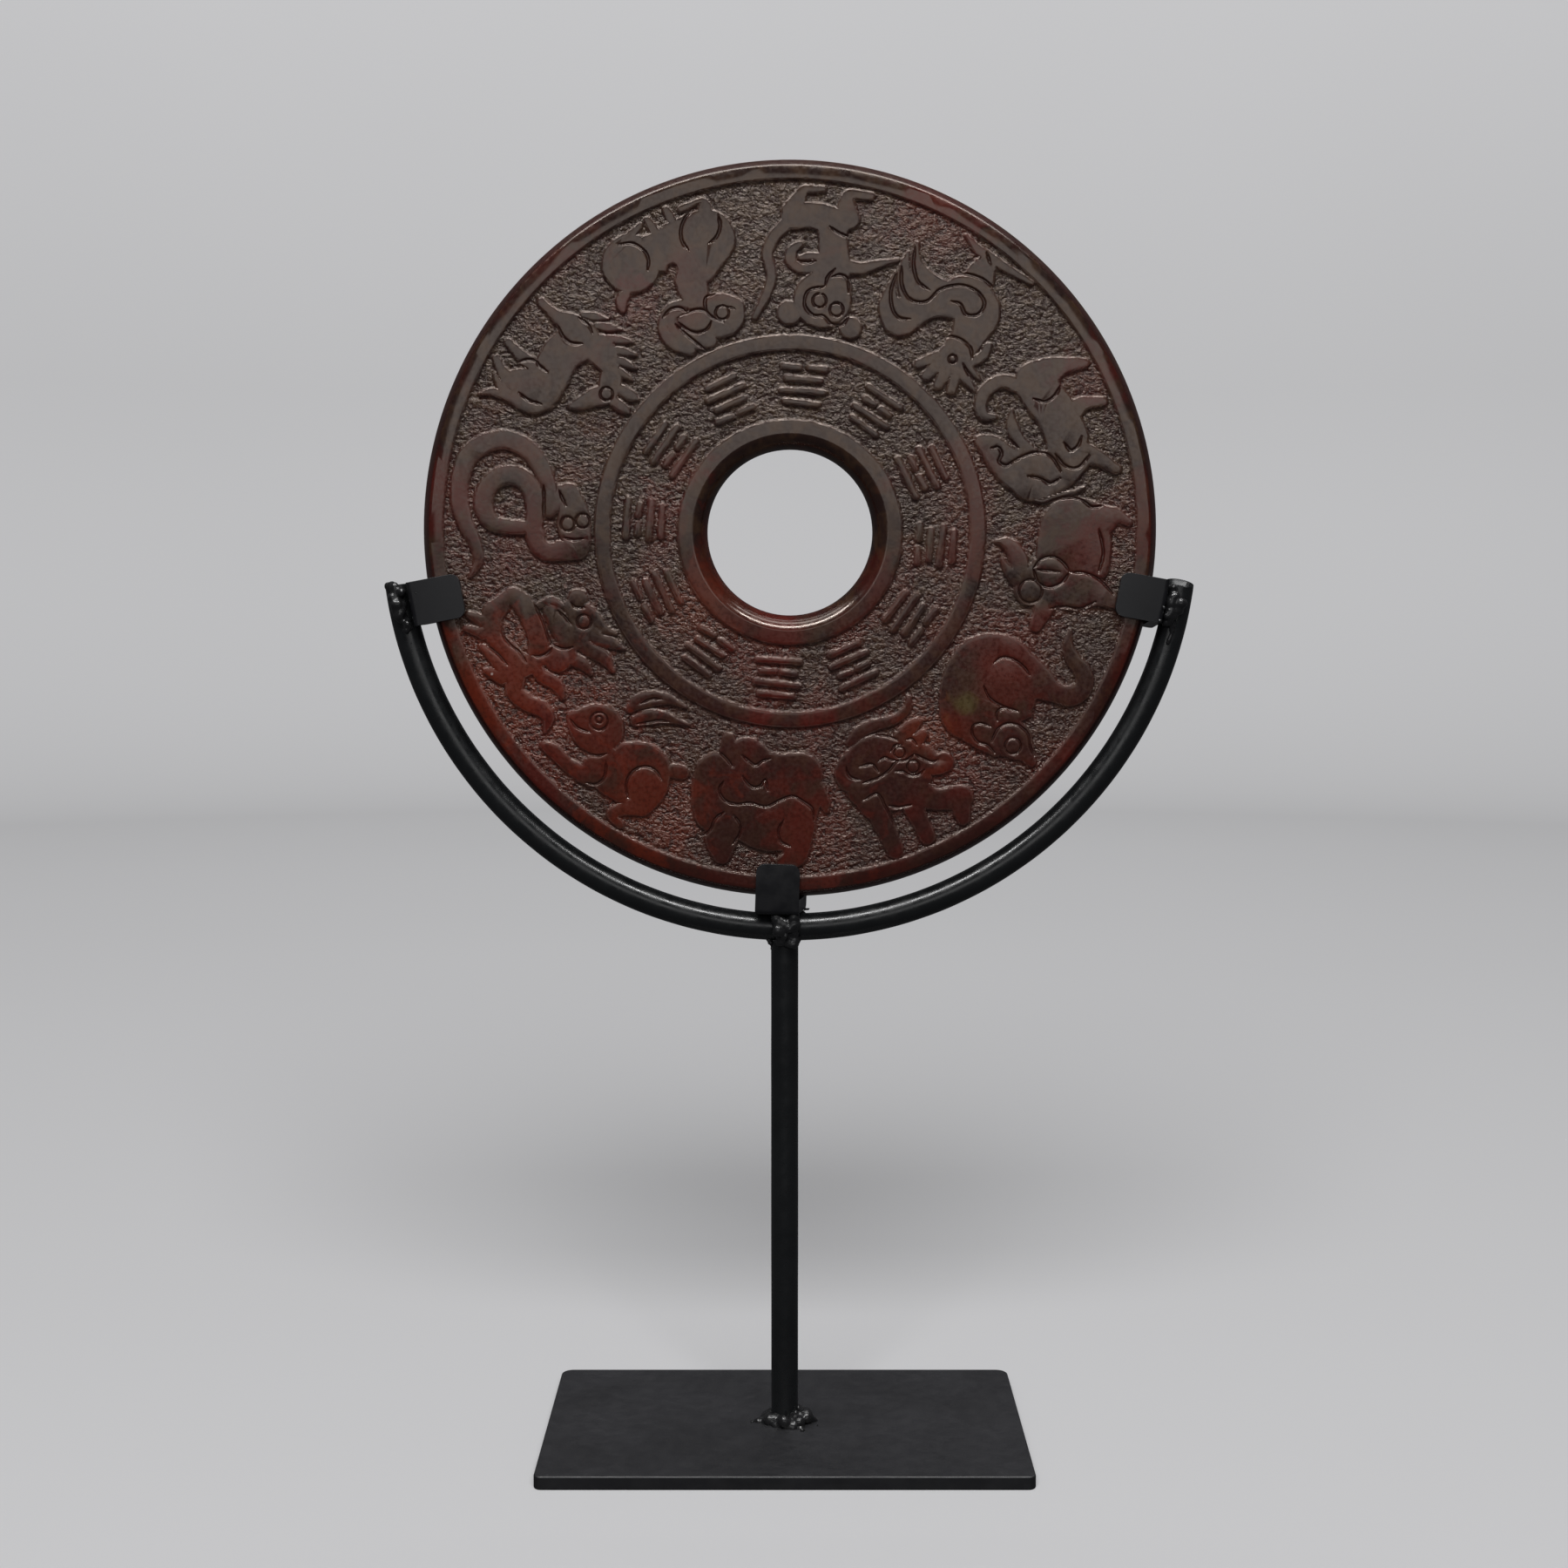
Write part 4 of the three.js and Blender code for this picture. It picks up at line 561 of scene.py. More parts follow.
            "horn": [(0.2, 20), (2, 16.6), (3.6, 13), (4.6, 10.4)],
            "hornLow": [(0.3, 8.6), (1.6, 6.8), (4, 6.1), (7.2, 7.2)],
        },
        "rings": [(-8.7, 13, 1.9)],
    },
}


# materials

def addNode(tree, kind, inputs=None, **settings):
    # inputs may be plain values or the outputs of other nodes
    node = tree.nodes.new(kind if "Node" in kind else "ShaderNode" + kind)
    for name, value in settings.items():
        setattr(node, name, value)
    for name, value in (inputs or {}).items():
        if isinstance(value, bpy.types.NodeSocket):
            tree.links.new(value, node.inputs[name])
        else:
            node.inputs[name].default_value = value
    return node


def maths(tree, operation, a, b=0.0, clamp=False):
    return addNode(tree, "Math", {0: a, 1: b}, operation=operation, use_clamp=clamp).outputs[0]


def blendColours(tree, share, a, b, how="MIX"):
    # plain colours are given as (r, g, b)
    a, b = (c if isinstance(c, bpy.types.NodeSocket) else (*c, 1) for c in (a, b))
    node = addNode(tree, "Mix", data_type="RGBA", blend_type=how)
    for socket, value in (("Factor", share), ("A", a), ("B", b)):
        if isinstance(value, bpy.types.NodeSocket):
            tree.links.new(value, node.inputs[socket])
        else:
            node.inputs[socket].default_value = value
    return node.outputs["Result"]


def ramp(tree, value, low, high, start=0.0, end=1.0, soft=True):
    kind = "SMOOTHSTEP" if soft else "LINEAR"
    return addNode(tree, "MapRange", {"Value": value, "From Min": low, "From Max": high,
                   "To Min": start, "To Max": end}, interpolation_type=kind).outputs["Result"]


def newGroup(name, inputs, outputs):
    # inputs are (name, socket kind, value), outputs are (name, socket kind)
    tree = bpy.data.node_groups.new(name, "ShaderNodeTree")
    for label, kind, value in inputs:
        socket = tree.interface.new_socket(label, in_out="INPUT", socket_type="NodeSocket" + kind)
        if value is not None:
            socket.default_value = value
    for label, kind in outputs:
        tree.interface.new_socket(label, in_out="OUTPUT", socket_type="NodeSocket" + kind)
    return tree, tree.nodes.new("NodeGroupInput"), tree.nodes.new("NodeGroupOutput")


def useGroup(tree, group, inputs):
    node = tree.nodes.new("ShaderNodeGroup")
    node.node_tree = group
    for name, value in inputs.items():
        if isinstance(value, bpy.types.NodeSocket):
            tree.links.new(value, node.inputs[name])
        else:
            node.inputs[name].default_value = value
    return node


def newMaterial(name, tone, rough, metal=0.0):
    material = bpy.data.materials.new(name)
    material.use_nodes = True
    material.diffuse_color = (*tone, 1)
    shader = material.node_tree.nodes["Principled BSDF"]
    shader.inputs["Base Color"].default_value = (*tone, 1)
    shader.inputs["Roughness"].default_value = rough
    shader.inputs["Metallic"].default_value = metal
    return material, material.node_tree, shader


def objectMillimetres(tree, centre=(0, 0, 0)):
    # Object coordinates in millimetres, measured from centre
    place = addNode(tree, "TexCoord").outputs["Object"]
    shifted = addNode(tree, "VectorMath", {0: place, 1: tuple(centre)}, operation="SUBTRACT").outputs[0]
    return addNode(tree, "VectorMath", {0: shifted, 3: 1 / mm}, operation="SCALE").outputs[0]


# Cloudy variation of two sizes, used by every finish.
def makeClouds():
    finer = 5.3  # how much smaller the fine clouds are
    tree, enter, leave = newGroup(
        "clouds", [("Vector", "Vector", None), ("Size", "Float", 10.0), ("Warp", "Float", 0.5)],
        [("Broad", "Float"), ("Fine", "Float")])
    scale = maths(tree, "DIVIDE", 1.0, enter.outputs["Size"])
    broad = addNode(tree, "TexNoise", {"Vector": enter.outputs["Vector"], "Scale": scale, "Detail": 3.0,
                    "Roughness": 0.55, "Distortion": enter.outputs["Warp"]})
    fine = addNode(tree, "TexNoise", {"Vector": enter.outputs["Vector"],
                   "Scale": maths(tree, "MULTIPLY", scale, finer), "Detail": 4.0, "Roughness": 0.6})
    tree.links.new(broad.outputs["Fac"], leave.inputs["Broad"])
    tree.links.new(fine.outputs["Fac"], leave.inputs["Fine"])
    return tree


# Scattered specks of dust. Spread is the distance between them, in mm.
def makeSpecks():
    core = 0.4  # share of a speck's reach that is solid
    tree, enter, leave = newGroup(
        "specks", [("Vector", "Vector", None), ("Spread", "Float", 4.0), ("Reach", "Float", 0.25),
                   ("Share", "Float", 0.5)], [("Mask", "Float")])
    cells = addNode(tree, "TexVoronoi", {"Vector": enter.outputs["Vector"],
                    "Scale": maths(tree, "DIVIDE", 1.0, enter.outputs["Spread"])})
    lot = addNode(tree, "SeparateColor", {"Color": cells.outputs["Color"]})
    size = maths(tree, "MULTIPLY", lot.outputs["Red"], enter.outputs["Reach"])
    near = addNode(tree, "MapRange", {"Value": cells.outputs["Distance"], "From Min": size,
                   "From Max": maths(tree, "MULTIPLY", size, core)}, interpolation_type="SMOOTHSTEP")
    chosen = maths(tree, "LESS_THAN", lot.outputs["Green"], enter.outputs["Share"])
    tree.links.new(maths(tree, "MULTIPLY", near.outputs["Result"], chosen), leave.inputs["Mask"])
    return tree


cloudsGroup = makeClouds()
specksGroup = makeSpecks()

# Polished dark jade. A span of two numbers is (from, to); one of four is
# (from, to, value at from, value at to). Heights and radii are in mm from the centre.
# Patches are (clock angle, radius from the centre, reach, colour, strength); the
# angle runs clockwise from the top.
stoneSet = {
    # Among these tones the dust, the pale edge and the olive also paint highlights, and the near-black rim
    # tone also paints shade.
    "dark": (0.028, 0.012, 0.010), "brown": (0.064, 0.031, 0.017), "red": (0.125, 0.011, 0.006),
    "dust": (0.22, 0.145, 0.085), "edge": (0.30, 0.17, 0.14), "rim": (0.030, 0.006, 0.005),
    "oliveHighlight": (0.090, 0.052, 0.022), "sheen": (1.0, 0.87, 0.78), "ior": 1.6,
    # cloudy colour
    "brownClouds": (0.4, 0.65), "redHeights": (40.0, -70.0), "redBelow": 0.8,
    "redClouds": (0.40, 0.66, -0.5, 0.35), "darkFoot": (-55.0, -95.0, 0.0, 0.5),
    "ragged": (0.3, 0.7, 0.55, 1.45), "patchCore": 0.25, "patchY": -5.5,
    "flecks": (0.50, 0.36, 0.0, 0.3),
    # sunk ground, cut lines, worn edges and rim, with the highlights and shade painted on them
    "dashLong": 1.5, "dashShort": 1.05, "dashTilt": -14, "dashDepth": 1.15,
    "struck": (0.36, 0.62), "dustGlintTops": (0.45, 1.0, 0.0, 0.17), "dustGlintHeights": (-70.0, 60.0, 0.45, 1.0),
    "hollowShadeRamp": (0.55, 0.0, 0.0, 0.8), "wearHighlightShare": 0.2, "grooveDirtShadeShare": 0.6,
    "rimShadeRadii": (102.5, 103.0, 0.0, 0.75), "oliveHighlightRadii": (104.3, 104.9, 0.0, 0.35),
    # gloss
    "polish": 0.18, "groundRough": 0.30, "polishSpread": (-0.05, 0.08), "polishClouds": (0.3, 0.7),
    "rimRough": (102.6, 103.4, 0.0, 0.14), "peelScale": 0.9, "peelDepth": 0.012,
    "patches": [
        (126, 74, 13, (0.15, 0.018, 0.008), 0.6),
        (141, 76, 12, (0.16, 0.022, 0.009), 0.5),
        (134, 70, 5.5, (0.15, 0.12, 0.035), 0.6),
        (94, 85, 14, (0.13, 0.011, 0.007), 0.6),
        (146, 68, 11, (0.22, 0.032, 0.010), 0.55),
        (176, 86, 20, (0.18, 0.019, 0.008), 0.55),
        (207, 88, 22, (0.23, 0.028, 0.008), 0.55),
        (225, 82, 20, (0.20, 0.022, 0.008), 0.5),
        (243, 92, 26, (0.24, 0.031, 0.009), 0.6),
        (24, 101, 17, (0.15, 0.016, 0.009), 0.55),
        (63, 95, 13, (0.14, 0.014, 0.009), 0.5),
        (232, 34, 15, (0.19, 0.032, 0.012), 0.6),
        (268, 72, 15, (0.12, 0.012, 0.008), 0.6),
        (274, 100, 15, (0.12, 0.011, 0.008), 0.6),
        (280, 38, 9, (0.13, 0.012, 0.009), 0.6),
        (301, 35, 9, (0.15, 0.018, 0.010), 0.6),
        (325, 77, 10, (0.13, 0.012, 0.011), 0.6),
        (318, 104, 12, (0.12, 0.014, 0.010), 0.4),
        # three pale chips
        (357, 103, 0.6, (0.9, 0.85, 0.82), 1.0),
        (332, 64.8, 0.5, (0.7, 0.62, 0.58), 1.0),
        (244.7, 94.3, 0.5, (0.7, 0.55, 0.5), 1.0),
    ],
}


def makeJade():
    s = stoneSet
    material, tree, shader = newMaterial("polishedJade", s["dark"], s["polish"])
    place = objectMillimetres(tree, discCentre)
    ground = addNode(tree, "Attribute", attribute_name="ground").outputs["Fac"]
    wearHighlight = addNode(tree, "Attribute", attribute_name="wearHighlight").outputs["Fac"]
    broadClouds = useGroup(tree, cloudsGroup, {"Vector": place, "Size": 34.0, "Warp": 0.9})
    smallClouds = useGroup(tree, cloudsGroup, {"Vector": place, "Size": 6.0, "Warp": 0.6})
    axes = addNode(tree, "SeparateXYZ", {"Vector": place})

    # dark brown above, redder below, with cloudy borders between them
    lower = ramp(tree, axes.outputs["Z"], *s["redHeights"])
    redness = maths(tree, "ADD", maths(tree, "MULTIPLY", lower, s["redBelow"]),
                    ramp(tree, broadClouds.outputs["Broad"], *s["redClouds"]))
    browner = ramp(tree, smallClouds.outputs["Broad"], *s["brownClouds"])
    tone = blendColours(tree, browner, s["dark"], s["brown"])
    tone = blendColours(tree, maths(tree, "ADD", redness, 0.0, clamp=True), tone, s["red"])
    # the lowest part is the darkest
    tone = blendColours(tree, ramp(tree, axes.outputs["Z"], *s["darkFoot"]), tone, s["dark"])
    ragged = ramp(tree, smallClouds.outputs["Broad"], *s["ragged"])
    for angle, radius, reach, colour, strength in s["patches"]:
        turn = math.radians(angle)
        middle = (radius * math.sin(turn), s["patchY"], radius * math.cos(turn))
        away = addNode(tree, "VectorMath", {0: place, 1: middle}, operation="DISTANCE").outputs["Value"]
        core = reach * s["patchCore"]
        near = ramp(tree, maths(tree, "MULTIPLY", away, ragged), reach, core, 0.0, strength)
        tone = blendColours(tree, near, tone, colour)
    # small dark flecks through the whole stone
    flecks = ramp(tree, smallClouds.outputs["Fine"], *s["flecks"])
    tone = blendColours(tree, flecks, tone, s["dark"])

    # chisel marks in the sunk ground: dust with a painted highlight on their tops, painted shade in the
    # hollows between them
    turned = addNode(tree, "Mapping", {"Vector": place, "Rotation": (0, math.radians(s["dashTilt"]), 0),
                     "Scale": (1 / s["dashLong"], 1 / s["dashShort"], 1 / s["dashShort"])},
                     vector_type="POINT").outputs[0]
    dashes = addNode(tree, "TexNoise", {"Vector": turned, "Scale": 1.0, "Detail": 3.0, "Roughness": 0.55,
                     "Distortion": 0.4}).outputs["Fac"]
    struck = ramp(tree, dashes, *s["struck"])
    # the pale dust tone on the raised tops of the chisel marks is dust and a painted highlight, with more of
    # it higher up
    dustAndGlint = maths(tree, "MULTIPLY", ground, ramp(tree, struck, *s["dustGlintTops"]))
    dustAndGlint = maths(tree, "MULTIPLY", dustAndGlint, ramp(tree, axes.outputs["Z"], *s["dustGlintHeights"]))
    tone = blendColours(tree, dustAndGlint, tone, s["dust"])
    # painted shade: the near-black rim tone darkens the low parts of the chisel marks
    paintedHollowShade = maths(tree, "MULTIPLY", ground, ramp(tree, struck, *s["hollowShadeRamp"]))
    tone = blendColours(tree, paintedHollowShade, tone, s["rim"])
    # a pale line along the crests of the figures and beside the cut lines: wear with a painted highlight
    tone = blendColours(tree, maths(tree, "MULTIPLY", wearHighlight, s["wearHighlightShare"]), tone, s["edge"])
    # the cut lines are painted dark, dirt with painted shade in them; the rolled rim gets painted shade, and
    # a painted olive highlight at its very edge
    grooveShade = addNode(tree, "Attribute", attribute_name="groove").outputs["Fac"]
    tone = blendColours(tree, maths(tree, "MULTIPLY", grooveShade, s["grooveDirtShadeShare"]), tone, s["rim"])
    flat = addNode(tree, "CombineXYZ", {"X": axes.outputs["X"], "Z": axes.outputs["Z"]}).outputs[0]
    radius = addNode(tree, "VectorMath", {0: flat}, operation="LENGTH").outputs["Value"]
    # painted shade darkening the rolled rim
    tone = blendColours(tree, ramp(tree, radius, *s["rimShadeRadii"]), tone, s["rim"])
    # painted highlight: a thin olive line at the rim's very edge
    tone = blendColours(tree, ramp(tree, radius, *s["oliveHighlightRadii"]), tone, s["oliveHighlight"])
    tree.links.new(tone, shader.inputs["Base Color"])

    polish = (s["polish"] + spread for spread in s["polishSpread"])
    rough = maths(tree, "ADD", maths(tree, "MULTIPLY", ground, s["groundRough"] - s["polish"]),
                  ramp(tree, smallClouds.outputs["Fine"], *s["polishClouds"], *polish))
    rough = maths(tree, "ADD", rough, ramp(tree, radius, *s["rimRough"]))
    tree.links.new(rough, shader.inputs["Roughness"])

    # height in mm: dashes on the ground, a faint orange-peel on the polish
    peel = addNode(tree, "TexNoise", {"Vector": place, "Scale": s["peelScale"], "Detail": 3.0}).outputs["Fac"]
    marks = maths(tree, "MULTIPLY", maths(tree, "MULTIPLY", dashes, ground), s["dashDepth"])
    relief = maths(tree, "ADD", marks, maths(tree, "MULTIPLY", peel, s["peelDepth"]))
    bump = addNode(tree, "Bump", {"Height": relief, "Strength": 1.0, "Distance": mm})
    tree.links.new(bump.outputs["Normal"], shader.inputs["Normal"])
    shader.inputs["IOR"].default_value = s["ior"]
    shader.inputs["Specular Tint"].default_value = (*s["sheen"], 1)
    return material


# Black paint on the stand: the plates are flatter than the bars and the welds.
paintSet = {
    "plate": {"tone": (0.016, 0.016, 0.018), "rough": 0.46, "peel": 0.010, "dust": 0.5},
    "clip": {"tone": (0.007, 0.007, 0.009), "rough": 0.36, "peel": 0.012, "dust": 0.2},
    "bar": {"tone": (0.011, 0.012, 0.013), "rough": 0.27, "peel": 0.022, "dust": 0.25},
    "weld": {"tone": (0.015, 0.015, 0.016), "rough": 0.24, "peel": 0.030, "dust": 0.2},
}

# What all four have in common.
paintLook = {"clouds": (0.3, 0.7), "cloudSize": 22.0, "paler": 1.35, "roughSpread": (-0.06, 0.08),
             "speckSpread": 5.5, "speckReach": 0.05, "speckTone": (0.22, 0.22, 0.21),
             "speckCover": 0.5, "speckHeight": 0.02, "peelScale": 0.8}


def makePaint(name):
    s, look = paintSet[name], paintLook
    material, tree, shader = newMaterial(name + "Paint", s["tone"], s["rough"])
    place = objectMillimetres(tree)
    clouds = useGroup(tree, cloudsGroup, {"Vector": place, "Size": look["cloudSize"], "Warp": 0.3})
    specks = useGroup(tree, specksGroup, {"Vector": place, "Spread": look["speckSpread"],
                      "Reach": look["speckReach"], "Share": s["dust"]})
    tone = blendColours(tree, ramp(tree, clouds.outputs["Broad"], *look["clouds"]), s["tone"],
                        [channel * look["paler"] for channel in s["tone"]])
    cover = maths(tree, "MULTIPLY", specks.outputs["Mask"], look["speckCover"])
    tone = blendColours(tree, cover, tone, look["speckTone"])
    tree.links.new(tone, shader.inputs["Base Color"])
    gloss = (s["rough"] + spread for spread in look["roughSpread"])
    rough = ramp(tree, clouds.outputs["Fine"], *look["clouds"], *gloss)
    tree.links.new(rough, shader.inputs["Roughness"])
    peel = addNode(tree, "TexNoise", {"Vector": place, "Scale": look["peelScale"], "Detail": 3.0})
    height = maths(tree, "ADD", maths(tree, "MULTIPLY", peel.outputs["Fac"], s["peel"]),
                   maths(tree, "MULTIPLY", specks.outputs["Mask"], look["speckHeight"]))
    bump = addNode(tree, "Bump", {"Height": height, "Strength": 1.0, "Distance": mm})
    tree.links.new(bump.outputs["Normal"], shader.inputs["Normal"])
    return material


def makePaper():
    s = paperSet
    material, tree, shader = newMaterial("paper", s["tone"], s["rough"])
    grain = addNode(tree, "TexNoise", {"Vector": objectMillimetres(tree), "Scale": 1 / s["grain"],
                    "Detail": 1.0})
    tone = blendColours(tree, grain.outputs["Fac"], s["tone"], [c * s["grainTone"] for c in s["tone"]])
    tree.links.new(tone, shader.inputs["Base Color"])
    # a little light of its own keeps it pale from every side
    shader.inputs["Emission Color"].default_value = (*s["tone"], 1)
    shader.inputs["Emission Strength"].default_value = s["glow"]
    return material


jade = makeJade()
platePaint, clipPaint, barPaint, weldPaint = (makePaint(name) for name in paintSet)
paper.data.materials.append(makePaper())
print("materials made")


# The disc: a stone ring with two sunk bands on its face, between raised rings.
discShape = {
    "radius": 104.99, "halfThick": 5.5, "border": (98.8, 102.4), "midRing": (51.3, 55.5),
    "eyeRing": (28.1, 31.9), "hole": 23.6, "rimBend": 1.35, "funnelBend": 1.65, "faceLevel": -3.9,
    "around": 1760, "step": 0.26, "backStep": 0.45, "bendRings": 27, "triangles": 194000,
    # faint turned lines on the back, and the ripple between them
    "backLines": (98.8, 55.5, 31.9), "backLineDepth": 0.22, "backLineWidth": 0.45,
    "rippleDepth": 0.01, "rippleTurns": 4.1, "rippleEnd": (102, 100),
}

# How the carver worked: sunk ground, cut lines, and the small unevenness of both.
# A pair is (from, to) across an edge, or (place, width) of a soft ridge.
carving = {
    "figureRadius": 77, "firstAngle": 5, "figureReach": (27, 24), "markReach": (9, 8),
    "depth": 0.9, "wall": (-0.25, 0.72), "wobble": 0.11, "waves": (2.3, 0.9), "fineWaves": 0.45,
    "lineHalf": 0.46, "lineTaper": 1.7, "lineEnd": 0.45, "lineDepth": 0.5, "lineWall": (0.12, -0.36),
    "lineWobble": 0.06, "ringHalf": 0.34,
    "moat": 0.12, "moatBand": (0.8, 0.5), "groundLumps": 0.05, "lumps": (1.5, 4.5), "lumpStretch": 1.9,
    "broadLumps": 0.6, "roundedTop": 0.07, "topFall": 0.4, "besideLines": 0.6, "lineFall": 0.35,
    "polishSwell": 0.035, "swellSize": 9, "fadeOut": (0.05, 0.9),
    "wearHighlightTop": (0.02, 0.16), "wearHighlightLine": (0.05, 0.14), "wearHighlightLines": 0.6, "seed": 3,
}

# The worn inscription: rows of plain strokes at twelve places of the inner band.
inscription = {
    "radius": 41.6, "width": 13, "rows": 4, "rowSpacing": 3.3, "rowShortening": 0.09,
    "halfStroke": 0.8, "strokeInset": 0.75, "strokeVary": 0.08, "lean": 0.16,
    "splitCentre": 0.28, "splitLength": 0.44, "seed": 12,
}

farAway = 9.0  # distance given to what no band is near, in mm
lockWidths = ((0, 0.8), (0.5, 1), (1, 0.2))  # place along a lock of mane, share of its width


def smoothPath(points, steps=6):
    # a rounded path through points of (x, y, half width)
    knots = np.array(points, float)
    if len(knots) == 1:
        return knots
    knots = np.vstack([2 * knots[0] - knots[1], knots, 2 * knots[-1] - knots[-2]])
    gaps = np.sqrt(np.linalg.norm(np.diff(knots, axis=0), axis=1))
    t = np.linspace(0, 1, steps + 1)[1:, None]
    path = [knots[1:2]]
    for i in range(1, len(knots) - 2):
        a, b, c, d = knots[i - 1:i + 3]
        before, here, after = gaps[i - 1:i + 2]
        leave = ((b - a) / before - (c - a) / (before + here) + (c - b) / here) * here
        arrive = ((c - b) / here - (d - b) / (here + after) + (d - c) / after) * here
        path.append(b + leave * t + (3 * (c - b) - 2 * leave - arrive) * t ** 2
                    + (2 * (b - c) + leave + arrive) * t ** 3)
    return np.vstack(path)


def linePath(points):
    # a cut line: one width, thinning towards both ends
    path = smoothPath([(x, y, carving["lineHalf"]) for x, y in points])
    along = np.concatenate([[0], np.cumsum(np.hypot(*np.diff(path[:, :2], axis=0).T))])
    toEnd = np.minimum(along, along[-1] - along)
    path[:, 2] *= carving["lineEnd"] + (1 - carving["lineEnd"]) * smoothStep(0, carving["lineTaper"], toEnd)
    return path


def bandDistance(u, v, path, far=2.2):
    # how far each point lies outside the band along a path, below 0 inside it
    nearest = np.full(u.shape, farAway)
    for (ax, ay, aw), (bx, by, bw) in zip(path, path[1:] if len(path) > 1 else path):
        reach = max(aw, bw) + far
        close = np.flatnonzero((u > min(ax, bx) - reach) & (u < max(ax, bx) + reach)
                               & (v > min(ay, by) - reach) & (v < max(ay, by) + reach))
        du, dv = u[close] - ax, v[close] - ay
        span = (bx - ax) ** 2 + (by - ay) ** 2 + 1e-9
        share = np.clip((du * (bx - ax) + dv * (by - ay)) / span, 0, 1)
        away = np.hypot(du - share * (bx - ax), dv - share * (by - ay)) - (aw + share * (bw - aw))
        nearest[close] = np.minimum(nearest[close], away)
    return nearest


def maneLocks(mane):
    # a fan of loose locks down the back of the horse's neck
    locks = []
    for i, (x, y) in enumerate(mane["roots"]):
        tilt = math.radians(mane["lean"] * min(1, 2 * i / (len(mane["roots"]) - 1)))
        locks.append([(x - share * mane["length"] * math.sin(tilt),
                       y + share * mane["length"] * math.cos(tilt), thick * mane["width"])
                      for share, thick in lockWidths])
    return locks


def figureCarving(figure, u, v):
    # distance outside the figure, and distance outside its cut lines
    limbs = list(figure["limbs"].values())
    if "mane" in figure:
        limbs += maneLocks(figure["mane"])
    raised = np.minimum.reduce([bandDistance(u, v, smoothPath(limb)) for limb in limbs])
    for dip in figure.get("dips", {}).values():
        raised = np.maximum(raised, -bandDistance(u, v, smoothPath(dip)))
    cuts = [bandDistance(u, v, linePath(line)) for line in figure["lines"].values()]
    cuts += [np.abs(np.hypot(u - x, v - y) - reach) - carving["ringHalf"]
             for x, y, reach in figure.get("rings", ())]
    return raised, np.minimum.reduce(cuts)


def markStrokes(place):
    s = inscription
    rng = np.random.default_rng(s["seed"] + place)
    strokes = []
    for row in range(s["rows"]):
        y = (row - (s["rows"] - 1) / 2) * s["rowSpacing"]
        width = s["width"] * (1 - s["rowShortening"] * ((place + 2 * row) % s["rows"]))
        spans = [(0, width)]
        if row == place % s["rows"]:
            spans = [(side * s["splitCentre"] * width, s["splitLength"] * width) for side in (-1, 1)]
        for x, length in spans:
            lean, left, right = rng.uniform(-1, 1, 3) * (s["lean"], s["strokeVary"], s["strokeVary"])
            half = length / 2 - s["halfStroke"] * s["strokeInset"]
            strokes.append([(x - half, y - lean, s["halfStroke"] + left), (x, y, s["halfStroke"]),
                            (x + half, y + lean, s["halfStroke"] + right)])
    return strokes


def ridge(value, place, width):
    # 1 where value is at place, falling softly to 0 on both sides
    return np.exp(-((value - place) / width) ** 2)


